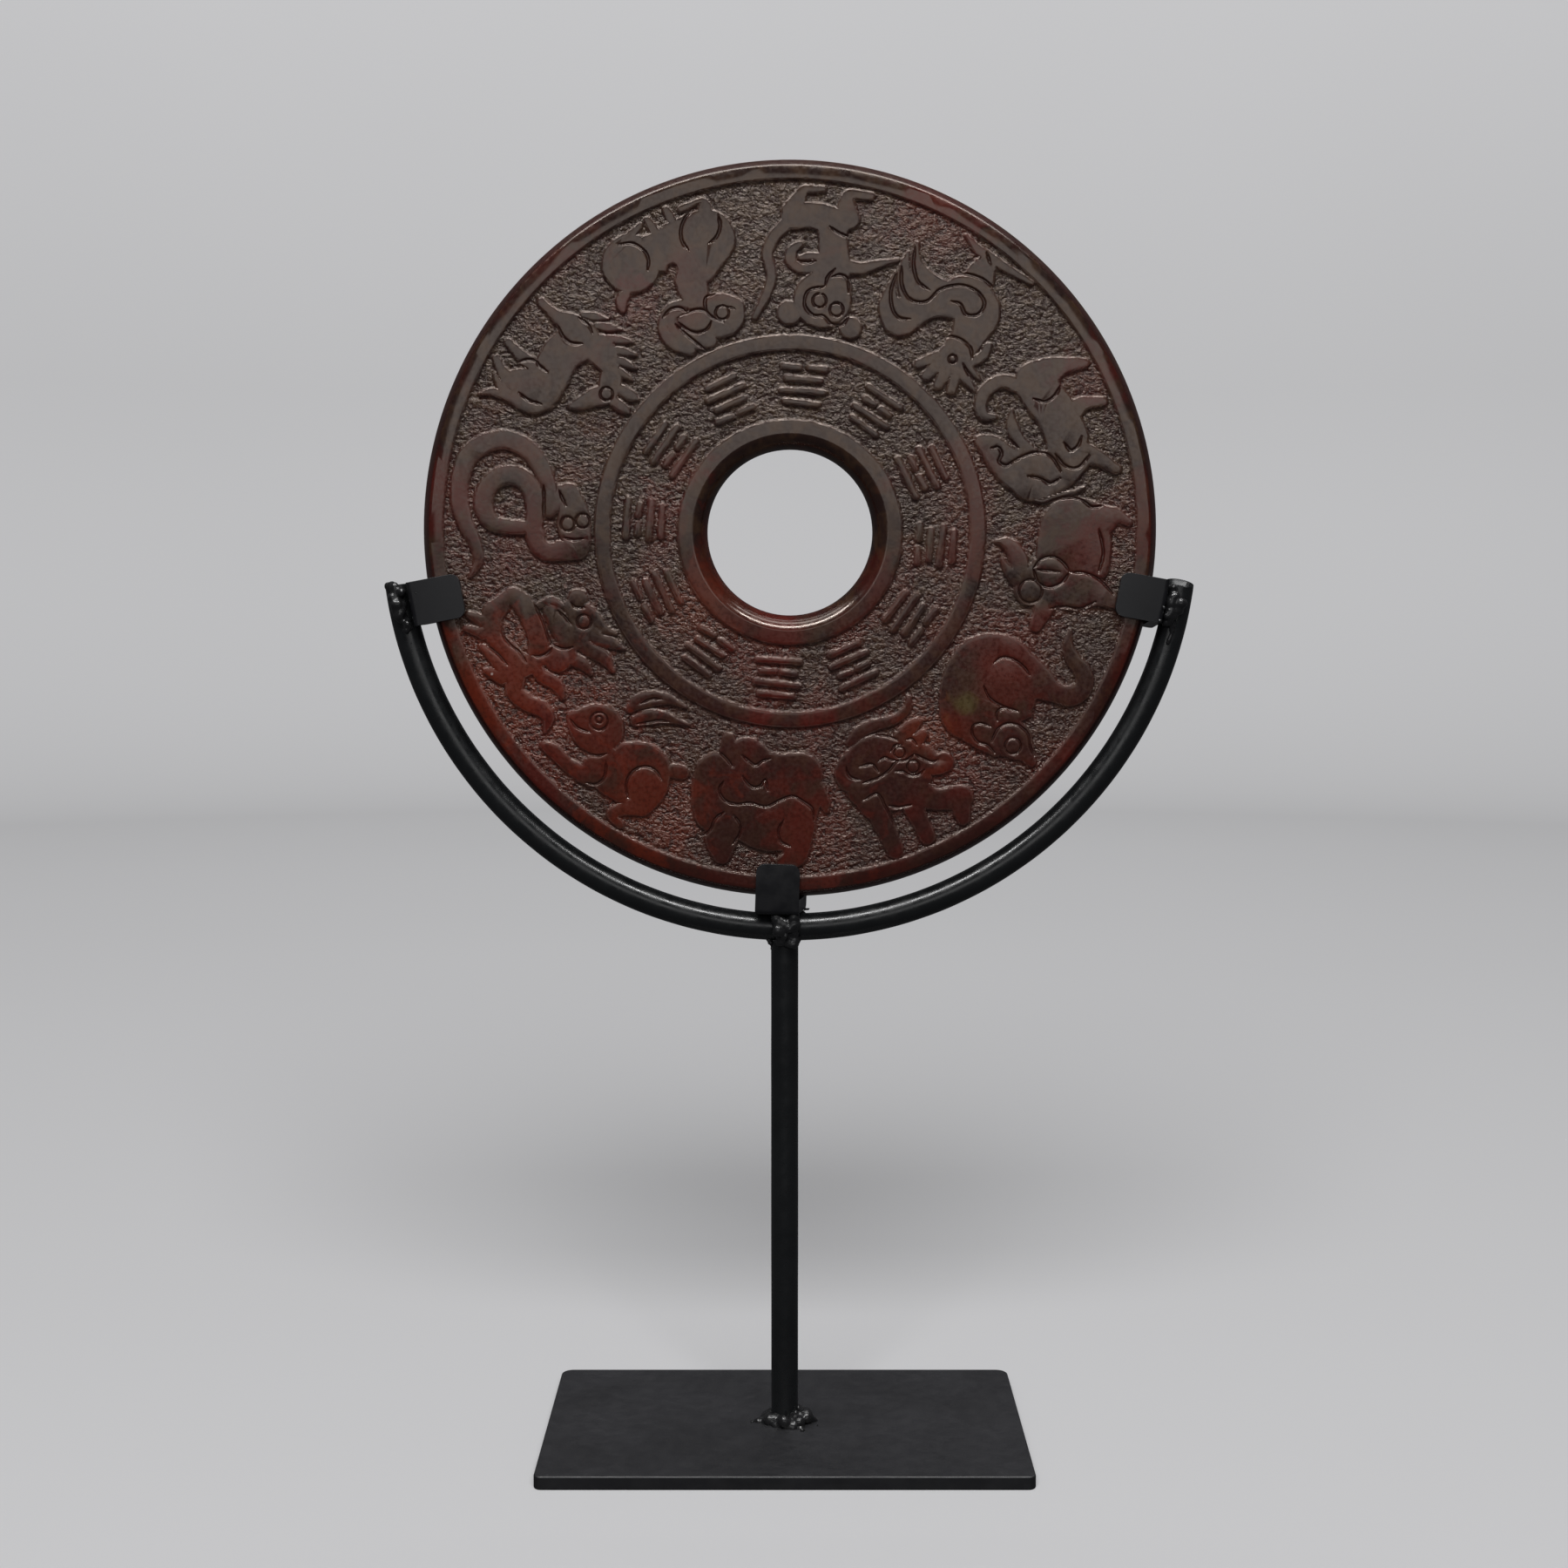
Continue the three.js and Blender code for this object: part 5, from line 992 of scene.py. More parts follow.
def carve(x, z):
    # depth below the face at each point, with masks for the material
    c, d = carving, discShape
    radius = np.hypot(x, z)
    middle, reach = sum(d["midRing"]) / 2, (d["midRing"][1] - d["midRing"][0]) / 2
    raised = np.minimum.reduce([d["border"][0] - radius, np.abs(radius - middle) - reach,
                                radius - d["eyeRing"][1]])
    cut = np.full(x.shape, farAway)
    for i, figure in enumerate(zodiac.values()):
        turn = math.radians(c["firstAngle"] + 30 * i)
        u = z * math.sin(turn) - x * math.cos(turn)
        outward = x * math.sin(turn) + z * math.cos(turn)
        v = c["figureRadius"] - outward
        near = np.flatnonzero((np.abs(u) < c["figureReach"][0]) & (np.abs(v) < c["figureReach"][1]))
        body, lines = figureCarving(figure, u[near], v[near])
        raised[near] = np.minimum(raised[near], body)
        cut[near] = np.minimum(cut[near], lines)
        v = inscription["radius"] - outward
        near = np.flatnonzero((np.abs(u) < c["markReach"][0]) & (np.abs(v) < c["markReach"][1]))
        for stroke in markStrokes(i):
            raised[near] = np.minimum(raised[near], bandDistance(u[near], v[near], smoothPath(stroke)))
    seed = c["seed"]
    broad, fine = c["waves"]
    wavy = latticeNoise(x, z, broad, seed) + c["fineWaves"] * latticeNoise(x, z, fine, seed + 1)
    raised = raised + c["wobble"] * wavy * smoothStep(-3, 0, raised)
    cut = cut + c["lineWobble"] * wavy
    ground = smoothStep(*c["wall"], raised)
    groove = smoothStep(*c["lineWall"], cut) * (1 - ground)
    lumps = latticeNoise(x / c["lumpStretch"], z, c["lumps"][0], seed + 2)
    lumps = lumps + c["broadLumps"] * latticeNoise(x, z, c["lumps"][1], seed + 3)
    swell = latticeNoise(x, z, c["swellSize"], seed + 4)
    beside = ridge(raised, *c["moatBand"])
    rounded = np.exp(np.minimum(raised, 0) / c["topFall"])
    rounded = rounded + c["besideLines"] * np.exp(-np.maximum(cut, 0) / c["lineFall"])
    depth = (c["depth"] * ground + c["lineDepth"] * groove
             + ground * (c["groundLumps"] * lumps + c["moat"] * beside)
             + (1 - ground) * (c["roundedTop"] * rounded + c["polishSwell"] * swell))
    # flat again where the rim and the funnel begin
    first, last = c["fadeOut"]
    depth = depth * smoothStep(d["border"][1] + first, d["border"][1] - last, radius)
    depth = np.maximum(depth * smoothStep(d["eyeRing"][0] - first, d["eyeRing"][0] + last, radius), 0)
    # the pale line for wear with a painted highlight, along the crests and beside the cut lines
    wearHighlight = ridge(raised, *c["wearHighlightTop"]) + c["wearHighlightLines"] * ridge(cut, *c["wearHighlightLine"]) * (1 - ground)
    return depth, ground, groove, np.clip(wearHighlight, 0, 1)


def backDepth(radius):
    d = discShape
    lines = sum(ridge(radius, line, d["backLineWidth"]) for line in d["backLines"])
    ripple = d["rippleDepth"] * (1 + np.sin(radius * d["rippleTurns"])) * smoothStep(*d["rippleEnd"], radius)
    return d["backLineDepth"] * lines + ripple


def bentProfile(start, out, power, count):
    # a rounded edge from the face (-y) round to the back
    turn = np.linspace(-np.pi / 2, np.pi / 2, count)
    bend = 2 / power
    y = discShape["halfThick"] * np.sign(np.sin(turn)) * np.abs(np.sin(turn)) ** bend
    return [(start + out * abs(np.cos(t)) ** bend, height) for t, height in zip(turn, y)]


def stitch(inner, innerCount, outer, outerCount):
    # triangles between two rings of points whose counts are equal, or double or half
    i = np.arange(min(innerCount, outerCount))
    after = (i + 1) % len(i)
    if innerCount == outerCount:
        return np.vstack([np.column_stack([inner + i, outer + after, outer + i]),
                          np.column_stack([inner + i, inner + after, outer + after])])
    coarse, fine = (inner, outer) if innerCount < outerCount else (outer, inner)
    sides = [np.column_stack([coarse + i, fine + 2 * i + 1, fine + 2 * i]),
             np.column_stack([coarse + i, coarse + after, fine + 2 * i + 1]),
             np.column_stack([coarse + after, fine + 2 * after, fine + 2 * i + 1])]
    faces = np.vstack(sides)
    return faces if coarse == inner else faces[:, ::-1]


def discMesh():
    d = discShape
    rough = 1
    around, step = d["around"] // rough, d["step"] * rough
    split = sum(d["midRing"]) / 2
    # rings of points are (radius, y, count): y is None on the carved face, "back" on the back
    inner = [(r, around // 2) for r in np.arange(d["eyeRing"][0], split, step)]
    outer = [(r, around) for r in np.arange(split, d["border"][1], step)]
    face = [(r, None, count) for r, count in inner + outer]
    rimStart, funnelStart = d["border"][1], d["eyeRing"][0]
    rimBend = bentProfile(rimStart, d["radius"] - rimStart, d["rimBend"], d["bendRings"])
    funnelBend = bentProfile(funnelStart, d["hole"] - funnelStart, d["funnelBend"], d["bendRings"])
    rim = [(r, y, around // 4) for r, y in rimBend]
    back = [(r, "back", around // 4)
            for r in np.arange(rimStart - d["backStep"], funnelStart + 0.2, -d["backStep"])]
    funnel = [(r, -y, around // 4) for r, y in funnelBend]
    rings = face + [(d["border"][1] - 0.02, None, around // 2)] + rim + back + funnel[:-1]
    points, starts, onFace = [], [], []
    for radius, kind, count in rings:
        turn = 2 * np.pi * np.arange(count) / count
        starts.append(sum(map(len, points)))
        y = kind
        if kind is None:
            y = 0
        elif kind == "back":
            y = d["halfThick"] - backDepth(radius)
        across, up = radius * np.sin(turn), radius * np.cos(turn)
        points.append(np.column_stack([across, np.full(count, float(y)), up]))
        onFace.append(np.full(count, kind is None))
    points, onFace = np.vstack(points), np.concatenate(onFace)
    points[onFace, 1] = carve(points[onFace, 0], points[onFace, 2])[0] - d["halfThick"]
    loop = [(start, count) for start, (_, _, count) in zip(starts, rings)]
    faces = [stitch(*here, *there) for here, there in zip(loop, loop[1:] + loop[:1])]
    return meshFromArrays("disc_stone", points * mm, np.vstack(faces))


def finishDisc(piece):
    # masks and clean shading normals at the vertices that are left
    mesh = piece.data
    count = len(mesh.vertices)
    points = np.empty(count * 3)
    mesh.vertices.foreach_get("co", points)
    points = points.reshape(-1, 3) / mm
    normals = np.empty(count * 3)
    mesh.vertices.foreach_get("normal", normals)
    normals = normals.reshape(-1, 3)
    radius = np.hypot(points[:, 0], points[:, 2])
    face = points[:, 1] < discShape["faceLevel"]
    face &= (radius > discShape["eyeRing"][0]) & (radius < discShape["border"][1])
    x, z = points[face, 0], points[face, 2]
    depth, ground, groove, wearHighlight = carve(x, z)
    hop = 0.06  # how far the slope is measured over, in mm
    slopeX = (carve(x + hop, z)[0] - carve(x - hop, z)[0]) / (2 * hop)
    slopeZ = (carve(x, z + hop)[0] - carve(x, z - hop)[0]) / (2 * hop)
    tilted = np.column_stack([slopeX, -np.ones(len(x)), slopeZ])
    normals[face] = tilted / np.linalg.norm(tilted, axis=1)[:, None]
    for name, values in (("ground", ground), ("groove", groove), ("wearHighlight", wearHighlight)):
        whole = np.zeros(count)
        whole[face] = values
        mesh.attributes.new(name, "FLOAT", "POINT").data.foreach_set("value", whole)
    mesh.shade_smooth()
    mesh.normals_split_custom_set_from_vertices(normals.tolist())
    mesh.transform(Matrix.Translation(discCentre))


disc = addObject("disc_stone", discMesh())
wanted = discShape["triangles"] / 1
thinner = disc.modifiers.new("thinner", "DECIMATE")
thinner.ratio = min(1.0, wanted / len(disc.data.polygons))
print(f"disc carved, {len(disc.data.polygons)} triangles before thinning")
bakeModifiers(disc)
finishDisc(disc)
finishPiece(disc, jade, ["disc"])
print(f"disc finished, {len(disc.data.polygons)} triangles")


# The stand. The base plate lies on the floor, the post stands on it.
plateSet = {"width": 140, "depth": 88, "thick": 4, "corners": (3.6, 3.6, 2.2, 2.2), "cornerSteps": 9,
            "ease": 0.55, "easeSteps": 4}
postSet = {"bar": 3.95, "low": 4.05, "high": 147.4, "sides": 40, "rings": 90, "uneven": 0.05, "lump": 14,
           "seed": 31}
arcSet = {"radius": 113.04, "centre": 264.5, "end": 7, "bar": 3.95, "steps": 260, "sides": 40,
          "uneven": 0.09, "lump": 9.0, "recess": 1.7, "wall": 1.15, "lean": 0.30, "leanShift": 0.4}
creaseAngle = 40  # sharper corners than this stay crisp, in degrees


def easeEdges(piece, width, segments, angle=35):
    bevel = piece.modifiers.new("eased", "BEVEL")
    bevel.width = width * mm
    bevel.segments = segments
    bevel.limit_method = "ANGLE"
    bevel.angle_limit = math.radians(angle)
    bevel.harden_normals = True
    bakeModifiers(piece)


def basePlate():
    s = plateSet
    halfWidth, halfDepth = s["width"] / 2, s["depth"] / 2
    outline = []
    # anticlockwise from the back right corner
    places = ((1, 1), (-1, 1), (-1, -1), (1, -1))
    for (sideX, sideY), radius, start in zip(places, s["corners"], (0, 90, 180, 270)):
        for turn in np.radians(np.linspace(start, start + 90, s["cornerSteps"])):
            outline.append((sideX * (halfWidth - radius) + radius * math.cos(turn),
                            sideY * (halfDepth - radius) + radius * math.sin(turn)))
    build = bmesh.new()
    low = [build.verts.new(((standX / mm + x) * mm, y * mm, 0)) for x, y in outline]
    bottom = build.faces.new(low[::-1])
    raised = bmesh.ops.extrude_face_region(build, geom=[bottom])
    top = [item for item in raised["geom"] if isinstance(item, bmesh.types.BMVert)]
    bmesh.ops.translate(build, verts=top, vec=(0, 0, s["thick"] * mm))
    bmesh.ops.recalc_face_normals(build, faces=build.faces)
    mesh = bpy.data.meshes.new("base_plate_painted")
    build.to_mesh(mesh)
    build.free()
    mesh.shade_smooth()
    plate = addObject("base_plate_painted", mesh)
    easeEdges(plate, s["ease"], s["easeSteps"])
    finishPiece(plate, platePaint, ["base_plate"])


def unevenness(points, size, seed):
    # soft bumps over a surface, from three crossed layers of noise
    x, y, z = points.T
    return (latticeNoise(x, y, size, seed) + latticeNoise(y, z, size, seed + 1)
            + latticeNoise(z, x, size, seed + 2)) / 3


def post():
    s = postSet
    heights = np.linspace(s["low"], s["high"], s["rings"])
    turn = 2 * np.pi * np.arange(s["sides"]) / s["sides"]
    rings = [np.column_stack([s["bar"] * np.cos(turn), s["bar"] * np.sin(turn), np.full(s["sides"], h)])
             for h in heights]
    points = np.vstack(rings)
    grow = 1 + s["uneven"] * unevenness(points, s["lump"], s["seed"]) / s["bar"]
    points[:, :2] *= grow[:, None]
    points = np.vstack([points, [[0, 0, s["low"]], [0, 0, s["high"]]]])
    i = np.arange(s["sides"])
    after = (i + 1) % s["sides"]
    starts = range(0, (len(rings) - 1) * s["sides"], s["sides"])
    faces = [np.column_stack([k + i, k + after, k + s["sides"] + after]) for k in starts]
    faces += [np.column_stack([k + i, k + s["sides"] + after, k + s["sides"] + i]) for k in starts]
    last = (len(rings) - 1) * s["sides"]
    faces += [np.column_stack([after, i, np.full(len(i), len(points) - 2)]),
              np.column_stack([last + i, last + after, np.full(len(i), len(points) - 1)])]
    points[:, 0] += standX / mm
    piece = addObject("post_painted", meshFromArrays("post_painted", points * mm, np.vstack(faces)))
    piece.data.shade_smooth()
    piece.data.set_sharp_from_angle(angle=math.radians(creaseAngle))
    finishPiece(piece, barPaint, ["post"])


def newGeometryTree(name, inputs):
    tree = bpy.data.node_groups.new(name, "GeometryNodeTree")
    for label, kind, value in inputs:
        socket = tree.interface.new_socket(label, in_out="INPUT", socket_type="NodeSocket" + kind)
        if value is not None:
            socket.default_value = value
    tree.interface.new_socket("Geometry", in_out="OUTPUT", socket_type="NodeSocketGeometry")
    return tree, tree.nodes.new("NodeGroupInput").outputs, tree.nodes.new("NodeGroupOutput")


def closeTree(tree, made, enter, leave):
    # every tree ends in plain, painted geometry
    whole = addNode(tree, "GeometryNodeRealizeInstances", {"Geometry": made.outputs[0]})
    painted = addNode(tree, "GeometryNodeSetMaterial", {"Geometry": whole.outputs[0],
                      "Material": enter["Paint"]})
    tree.links.new(painted.outputs[0], leave.inputs["Geometry"])
    return tree


def addTree(piece, tree, values):
    # a geometry nodes modifier with its inputs set by name
    modifier = piece.modifiers.new(tree.name, "NODES")
    modifier.node_group = tree
    sockets = {item.name: item.identifier for item in tree.interface.items_tree if item.in_out == "INPUT"}
    for name, value in values.items():
        modifier[sockets[name]] = value
    return modifier


# A round bar bent to an arc, with the soft waves that bending leaves.
def makeArcTree():
    tree, enter, leave = newGeometryTree("bentBar", [
        ("Radius", "Float", 0.11), ("Centre Height", "Float", 0.26), ("Start Angle", "Float", 3.3),
        ("Sweep", "Float", 2.9), ("Bar Radius", "Float", 0.004), ("Steps", "Int", 100), ("Sides", "Int", 24),
        ("Unevenness", "Float", 0.0), ("Lump Size", "Float", 0.01), ("Paint", "Material", None)])
    path = addNode(tree, "GeometryNodeCurveArc", {"Resolution": enter["Steps"], "Radius": enter["Radius"],
                   "Start Angle": enter["Start Angle"], "Sweep Angle": enter["Sweep"]}, mode="RADIUS")
    lift = addNode(tree, "CombineXYZ", {"Z": enter["Centre Height"]})
    upright = addNode(tree, "GeometryNodeTransform", {"Geometry": path.outputs["Curve"],
                      "Translation": lift.outputs[0], "Rotation": (math.pi / 2, 0, 0)})
    section = addNode(tree, "GeometryNodeCurvePrimitiveCircle",
                      {"Resolution": enter["Sides"], "Radius": enter["Bar Radius"]}, mode="RADIUS")
    bar = addNode(tree, "GeometryNodeCurveToMesh", {"Curve": upright.outputs[0],
                  "Profile Curve": section.outputs["Curve"], "Fill Caps": True})
    noise = addNode(tree, "TexNoise", {"Vector": tree.nodes.new("GeometryNodeInputPosition").outputs[0],
                    "Scale": maths(tree, "DIVIDE", 1.0, enter["Lump Size"]), "Detail": 1.0})
    amount = maths(tree, "MULTIPLY", maths(tree, "SUBTRACT", noise.outputs["Fac"], 0.5), enter["Unevenness"])
    shift = addNode(tree, "VectorMath", {0: tree.nodes.new("GeometryNodeInputNormal").outputs[0], 3: amount},
                    operation="SCALE")
    wavy = addNode(tree, "GeometryNodeSetPosition", {"Geometry": bar.outputs["Mesh"],
                   "Offset": shift.outputs[0]})
    return closeTree(tree, wavy, enter, leave)


def recessEnd(mesh):
    # the right end was cropped askew and shows its hollow, dark inside
    s = arcSet
    build = bmesh.new()
    build.from_mesh(mesh)
    caps = [face for face in build.faces if len(face.verts) > 8]
    cap = max(caps, key=lambda face: face.calc_center_median().x)
    for vert in cap.verts:
        vert.co.z += vert.co.y * s["lean"] + s["bar"] * s["lean"] * mm * s["leanShift"]
    inner = bmesh.ops.inset_region(build, faces=[cap], thickness=s["wall"] * mm)
    bmesh.ops.translate(build, verts=cap.verts, vec=(0, 0, -s["recess"] * mm))
    bmesh.ops.recalc_face_normals(build, faces=build.faces)
    build.to_mesh(mesh)
    build.free()


def cradleArc():
    s = arcSet
    piece = addObject("cradle_arc_painted", bpy.data.meshes.new("cradle_arc_painted"))
    addTree(piece, makeArcTree(), {
        "Radius": s["radius"] * mm, "Centre Height": s["centre"] * mm,
        "Start Angle": math.radians(180 + s["end"]), "Sweep": math.radians(180 - 2 * s["end"]),
        "Bar Radius": s["bar"] * mm, "Steps": s["steps"], "Sides": s["sides"],
        "Unevenness": s["uneven"] * mm, "Lump Size": s["lump"] * mm, "Paint": barPaint})
    bakeModifiers(piece)
    recessEnd(piece.data)
    piece.data.shade_smooth()
    piece.data.set_sharp_from_angle(angle=math.radians(creaseAngle))
    finishPiece(piece, barPaint, ["cradle_arc"])


# Three clips, each a strip bent to a U over the disc's edge. Angle is measured
# at the disc's centre from straight down, to the left; heel is how far out the
# strip reaches; lap is how far the front leaf runs on past it; skew shifts the
# back leaf sideways, growing from the depth "skewFrom" on.
clipSet = {
    "width": 12.6, "inside": 5.8, "thick": 1.9, "seat": 105.3, "tip": 94.9, "corner": 2.6,
    "cornerSteps": 9, "bend": 1.5, "bendSteps": 6, "chamfer": 0.2, "skewFrom": -4, "skewOver": 11,
    "ease": 0.28, "easeSteps": 2,
    "left": {"angle": 79.3, "heel": 108.9, "lap": 1.3, "skew": 0.0},
    "bottom": {"angle": 2, "heel": 109.4, "lap": 0.3, "skew": 2.2},
    "right": {"angle": -79.6, "heel": 108.6, "lap": 0.3, "skew": -1.6},
}


def clipProfile(heel, lap, tipDrop):
    # round the section (y, z), the carved side's leaf first
    s = clipSet
    inside, outside = s["inside"], s["inside"] + s["thick"]
    bend, tip = s["bend"], -s["tip"] - tipDrop
    corner = [(bend * (1 - math.cos(t)), bend * (1 - math.sin(t)))
              for t in np.linspace(0, math.pi / 2, s["bendSteps"])]
    front = [(-inside, -s["seat"]), (-inside, tip), (-outside, tip)]
    front += [(-outside + y, -heel - lap + z) for y, z in corner]
    front += [(-inside - s["chamfer"], -heel - lap), (-inside, -heel)]
    back = [(outside - y, -heel + z) for y, z in corner[::-1]]
    return front + back + [(outside, tip), (inside, tip), (inside, -s["seat"])]


def clip(side):
    s, own = clipSet, clipSet[side]
    half, corner = s["width"] / 2, s["corner"]
    bowed = half - corner + corner * np.sin(np.linspace(0, np.pi / 2, s["cornerSteps"]))
    stations = np.unique(np.round(np.concatenate([-bowed, bowed, [0]]), 4))
    build = bmesh.new()
    turn = Matrix.Rotation(math.radians(own["angle"]), 4, "Y")
    rows = []
    for x in stations:
        over = max(abs(x) - (half - corner), 0)
        drop = corner - math.sqrt(max(corner ** 2 - over ** 2, 0))
        shape = clipProfile(own["heel"], own["lap"], drop)
        skewed = [own["skew"] * max(y - s["skewFrom"], 0) / s["skewOver"] for y, z in shape]
        row = [Vector((x + shift, y, z)) * mm for shift, (y, z) in zip(skewed, shape)]
        rows.append([build.verts.new(discCentre + turn @ point) for point in row])
    for here, there in zip(rows, rows[1:]):
        for k in range(len(here)):
            after = (k + 1) % len(here)
            build.faces.new((here[k], here[after], there[after], there[k]))
    build.faces.new(rows[0][::-1])
    build.faces.new(rows[-1])
    bmesh.ops.recalc_face_normals(build, faces=build.faces)
    mesh = bpy.data.meshes.new(f"clip_{side}_painted")
    build.to_mesh(mesh)
    build.free()
    mesh.shade_smooth()
    piece = addObject(mesh.name, mesh)
    easeEdges(piece, s["ease"], s["easeSteps"])
    finishPiece(piece, clipPaint, [f"clip_{side}"])


# Weld beads. Each run is a path of (x, y, z, bead radius) in mm; drops are
# single beads of spatter.
weldSet = {
    "spacing": 0.42, "jitter": 0.6, "voxel": 0.30, "smooth": 6, "smoothBy": 0.5, "crust": 0.75,
    "crustSize": 1.9,
    "left": {
        "seed": 3,
        "runs": [
            [(-114.4, -2.4, 250.0, 1.2), (-112.4, -4.0, 249.6, 1.5), (-110.8, -5.2, 248.8, 1.6)],
            [(-112.6, -3.8, 247.2, 1.8), (-111.2, -4.9, 244.6, 1.9), (-110.9, -4.6, 241.8, 1.6)],
            [(-110.8, -4.4, 242.4, 1.3), (-110.0, -5.0, 240.2, 1.5), (-109.0, -4.8, 238.4, 1.2)],
            [(-110.4, -2.6, 237.4, 0.6), (-108.6, -3.4, 234.6, 0.7), (-107.4, -3.3, 231.0, 0.4)],
            [(-109.0, 3.9, 248.6, 1.5), (-109.0, 4.3, 243.4, 1.7), (-107.9, 3.9, 238.6, 1.4)],
        ],
        "drops": [(-113.0, -3.6, 243.4, 0.35), (-106.2, -7.7, 248.2, 0.3)],
    },
    "right": {
        "seed": 8,
        "runs": [
            [(109.0, -5.2, 250.0, 1.2), (110.6, -4.8, 247.4, 1.9), (111.0, -4.2, 244.0, 1.9)],
            [(108.9, -5.6, 246.4, 1.6), (108.6, -5.2, 242.6, 1.6), (108.2, -4.6, 239.8, 1.2)],
            [(109.9, -4.2, 241.8, 1.1), (109.4, -3.7, 237.8, 0.7), (108.4, -3.6, 233.8, 0.5)],
            [(108.9, 4.1, 249.2, 1.5), (108.9, 4.3, 244.2, 1.7), (108.0, 4.1, 239.6, 1.4)],
        ],
        "drops": [(106.2, -7.6, 244.2, 0.55), (105.2, -7.4, 240.6, 0.45), (110.4, -4.3, 238.8, 0.5),
                  (109.0, -4.1, 232.0, 0.45)],
    },
    "bottom": {
        "seed": 5,
        "runs": [
            [(-3.0, -4.8, 154.6, 2.0), (-2.7, -4.8, 150.8, 2.2), (-1.9, -4.0, 147.4, 2.0)],
            [(0.2, -5.0, 154.4, 2.0), (0.4, -4.8, 150.6, 2.1), (-0.1, -4.0, 147.4, 1.9)],
            [(-6.6, -0.6, 148.4, 0.6), (-5.2, -0.8, 147.2, 1.1), (-4.9, -0.8, 145.2, 0.6)],
            [(3.4, -0.6, 148.2, 0.5), (2.4, -0.8, 147.2, 1.0), (2.3, -0.8, 145.7, 0.5)],
            [(-4.0, 4.2, 154.6, 1.8), (0.0, 4.8, 154.4, 1.9), (3.0, 4.2, 154.6, 1.7)],
            [(-1.7, 3.4, 149.6, 1.9), (-1.3, 3.2, 146.4, 1.7)],
        ],
        "drops": [(5.4, 5.4, 156.0, 0.5), (4.8, 5.2, 156.1, 0.6), (-0.8, -6.9, 149.6, 0.5)],
    },
    "foot": {
        "seed": 11,
        "runs": [
            [(-5.9, 0.6, 4.2, 1.9), (-4.7, -3.2, 4.4, 2.0), (-1.2, -5.3, 4.4, 2.1), (2.2, -4.4, 4.6, 2.3),
             (3.7, -1.0, 4.6, 2.2), (3.2, 2.8, 4.4, 2.0), (-0.7, 4.8, 4.3, 2.0), (-4.7, 3.2, 4.3, 1.9),
             (-5.9, 0.6, 4.2, 1.9)],
            [(-5.7, -1.6, 4.3, 1.7), (-8.3, -1.8, 3.9, 1.1), (-10.5, -1.2, 3.8, 0.5)],
            [(3.0, -1.8, 4.8, 2.0), (6.0, -1.4, 4.2, 1.3), (8.0, -0.8, 3.9, 0.6)],
            [(0.8, -5.6, 4.0, 1.8), (3.2, -7.0, 3.8, 1.0)],
            [(0.6, -3.6, 6.2, 1.2), (2.2, -2.8, 7.0, 0.8)],
        ],
        "drops": [(8.4, -5.0, 4.05, 0.42), (4.0, -9.4, 4.05, 0.42), (-11.1, -2.2, 4.05, 0.35),
                  (-3.5, -8.2, 4.05, 0.3), (9.4, -4.4, 4.0, 0.25), (-7.1, -6.0, 4.05, 0.28),
                  (5.8, -8.4, 4.05, 0.22)],
    },
}


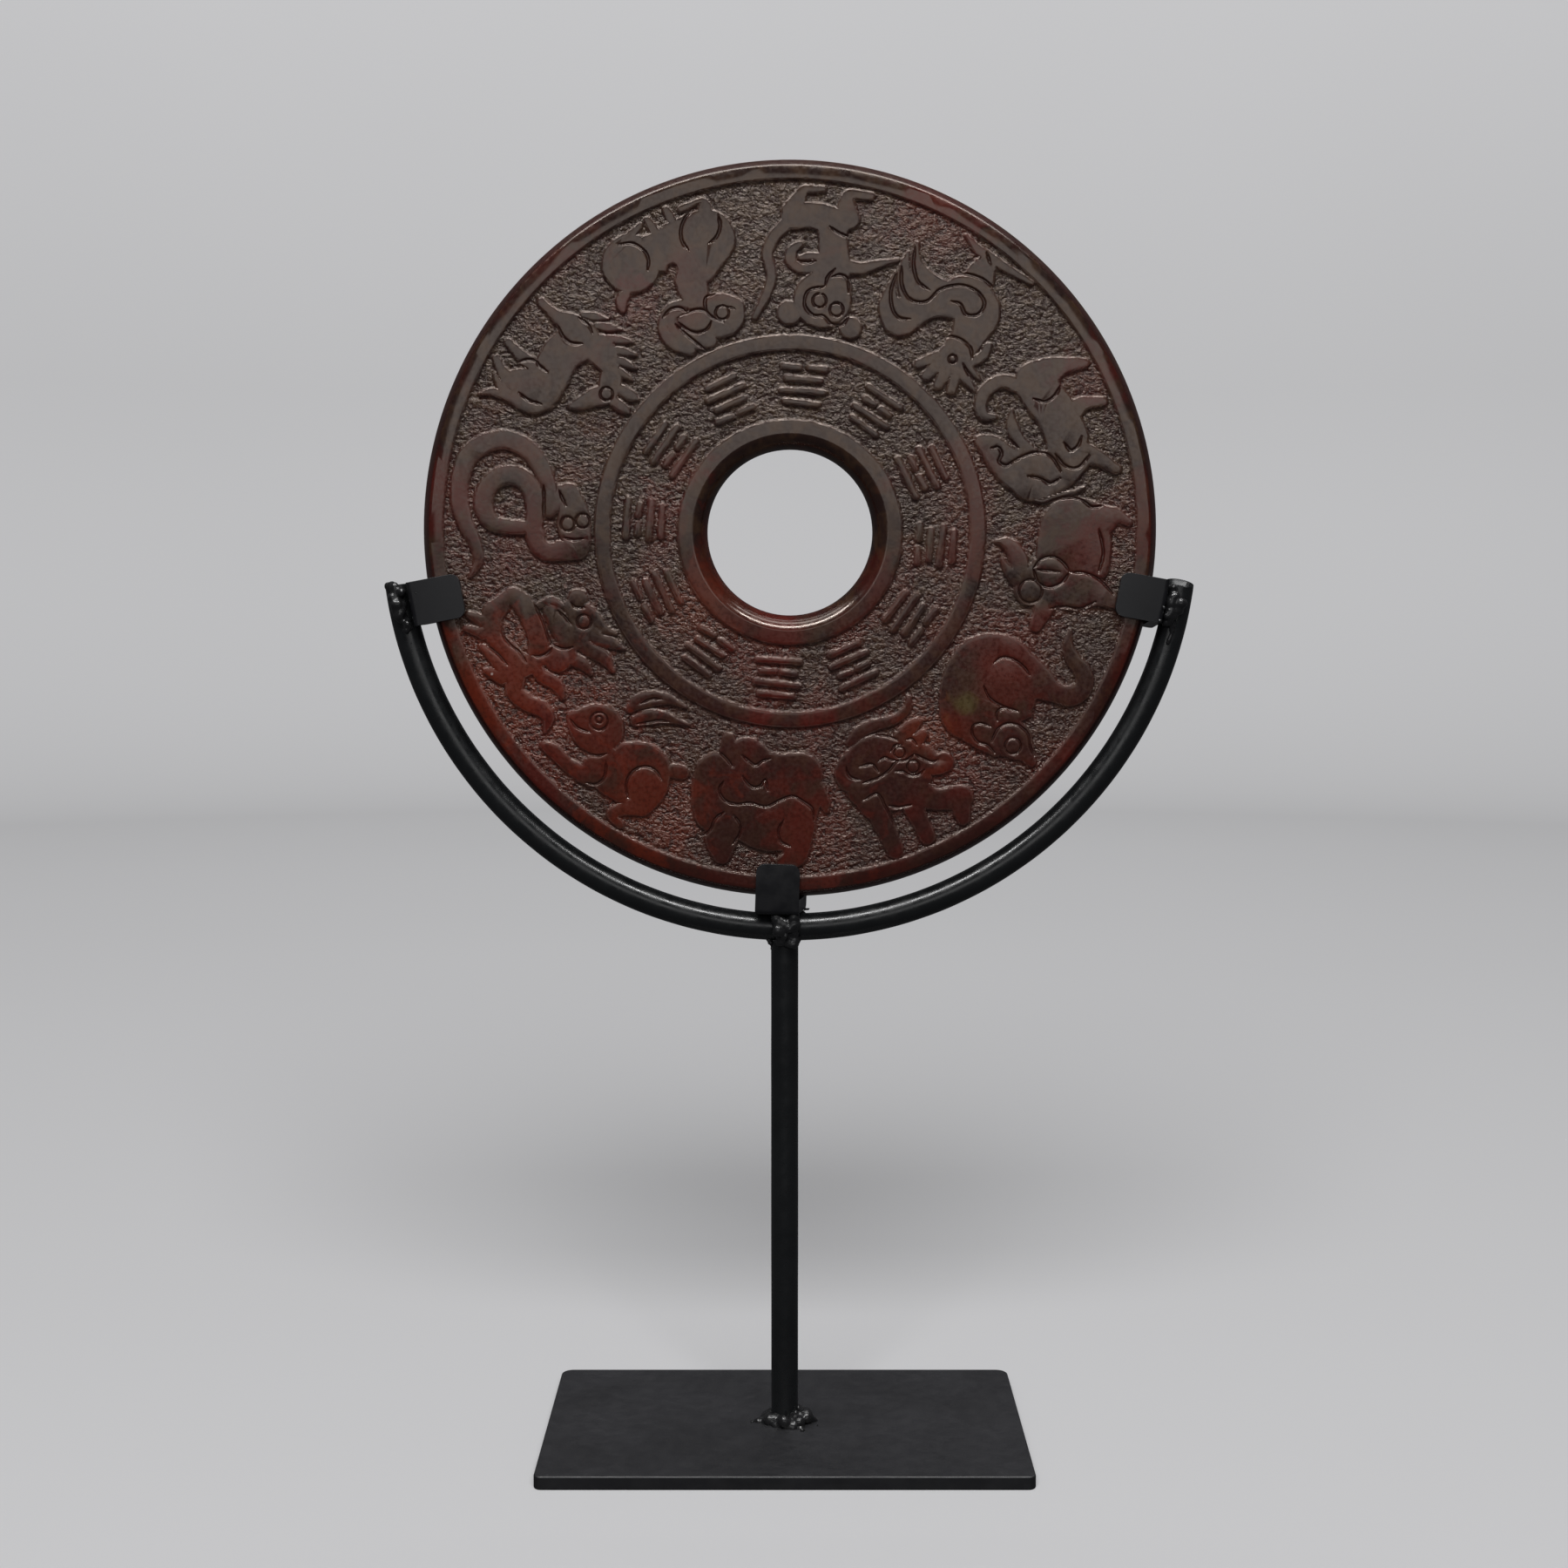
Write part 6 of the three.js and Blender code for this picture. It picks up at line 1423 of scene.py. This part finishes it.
# Beads set along a path, each a little out of line and out of size.
def makeBeadTree():
    tree, enter, leave = newGeometryTree("weldBeads", [
        ("Geometry", "Geometry", None), ("Spacing", "Float", 0.001), ("Jitter", "Float", 0.4),
        ("Seed", "Int", 1), ("Paint", "Material", None)])
    curve = addNode(tree, "GeometryNodeMeshToCurve", {"Mesh": enter["Geometry"]})
    spaced = addNode(tree, "GeometryNodeResampleCurve",
                     {"Curve": curve.outputs[0], "Length": enter["Spacing"]}, mode="LENGTH")
    size = addNode(tree, "GeometryNodeInputNamedAttribute", {"Name": "bead"}, data_type="FLOAT").outputs[0]
    shake = addNode(tree, "FunctionNodeRandomValue", {"Min": (-1, -1, -1), "Max": (1, 1, 1),
                    "Seed": enter["Seed"]}, data_type="FLOAT_VECTOR").outputs[0]
    reach = maths(tree, "MULTIPLY", size, enter["Jitter"])
    aside = addNode(tree, "VectorMath", {0: shake, 3: reach}, operation="SCALE").outputs[0]
    loose = addNode(tree, "GeometryNodeSetPosition", {"Geometry": spaced.outputs[0], "Offset": aside})
    bead = addNode(tree, "GeometryNodeMeshIcoSphere", {"Radius": 1.0, "Subdivisions": 2})
    vary = addNode(tree, "FunctionNodeRandomValue", {2: 0.72, 3: 1.08, "Seed": enter["Seed"]},
                   data_type="FLOAT")
    scale = maths(tree, "MULTIPLY", size, vary.outputs[1])
    beads = addNode(tree, "GeometryNodeInstanceOnPoints", {"Points": loose.outputs[0],
                    "Instance": bead.outputs["Mesh"], "Scale": scale})
    return closeTree(tree, beads, enter, leave)


def roughen(mesh, amount, size, seed):
    # pushes the surface in and out a little along its normals
    count = len(mesh.vertices)
    points, normals = np.empty(count * 3), np.empty(count * 3)
    mesh.vertices.foreach_get("co", points)
    mesh.vertices.foreach_get("normal", normals)
    bumps = unevenness(points.reshape(-1, 3) / mm, size, seed) * amount * mm
    mesh.vertices.foreach_set("co", points + (normals.reshape(-1, 3) * bumps[:, None]).ravel())
    mesh.update()


def weld(place, beadTree):
    s, own = weldSet, weldSet[place]
    points, edges = [], []
    for run in own["runs"] + [[drop, (drop[0] + 0.1, *drop[1:])] for drop in own["drops"]]:
        start = len(points)
        points += run
        edges += [(start + k, start + k + 1) for k in range(len(run) - 1)]
    mesh = bpy.data.meshes.new(f"weld_{place}")
    mesh.from_pydata([[c * mm for c in point[:3]] for point in points], edges, [])
    sizes = mesh.attributes.new("bead", "FLOAT", "POINT")
    sizes.data.foreach_set("value", [point[3] * mm for point in points])
    piece = addObject(mesh.name, mesh)
    addTree(piece, beadTree, {"Spacing": s["spacing"] * mm, "Jitter": s["jitter"], "Seed": own["seed"],
                              "Paint": weldPaint})
    melted = piece.modifiers.new("melted", "REMESH")
    melted.mode = "VOXEL"
    melted.voxel_size = s["voxel"] * mm
    melted.use_smooth_shade = True
    smoothed = piece.modifiers.new("smoothed", "SMOOTH")
    smoothed.iterations = s["smooth"]
    smoothed.factor = s["smoothBy"]
    bakeModifiers(piece)
    roughen(piece.data, s["crust"], s["crustSize"], own["seed"])
    piece.data.shade_smooth()
    finishPiece(piece, weldPaint)


basePlate()
post()
cradleArc()
for side in ("left", "bottom", "right"):
    clip(side)
beadTree = makeBeadTree()
for place in ("left", "right", "bottom", "foot"):
    weld(place, beadTree)
print("stand made")

newBox = [list(corner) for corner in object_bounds()]
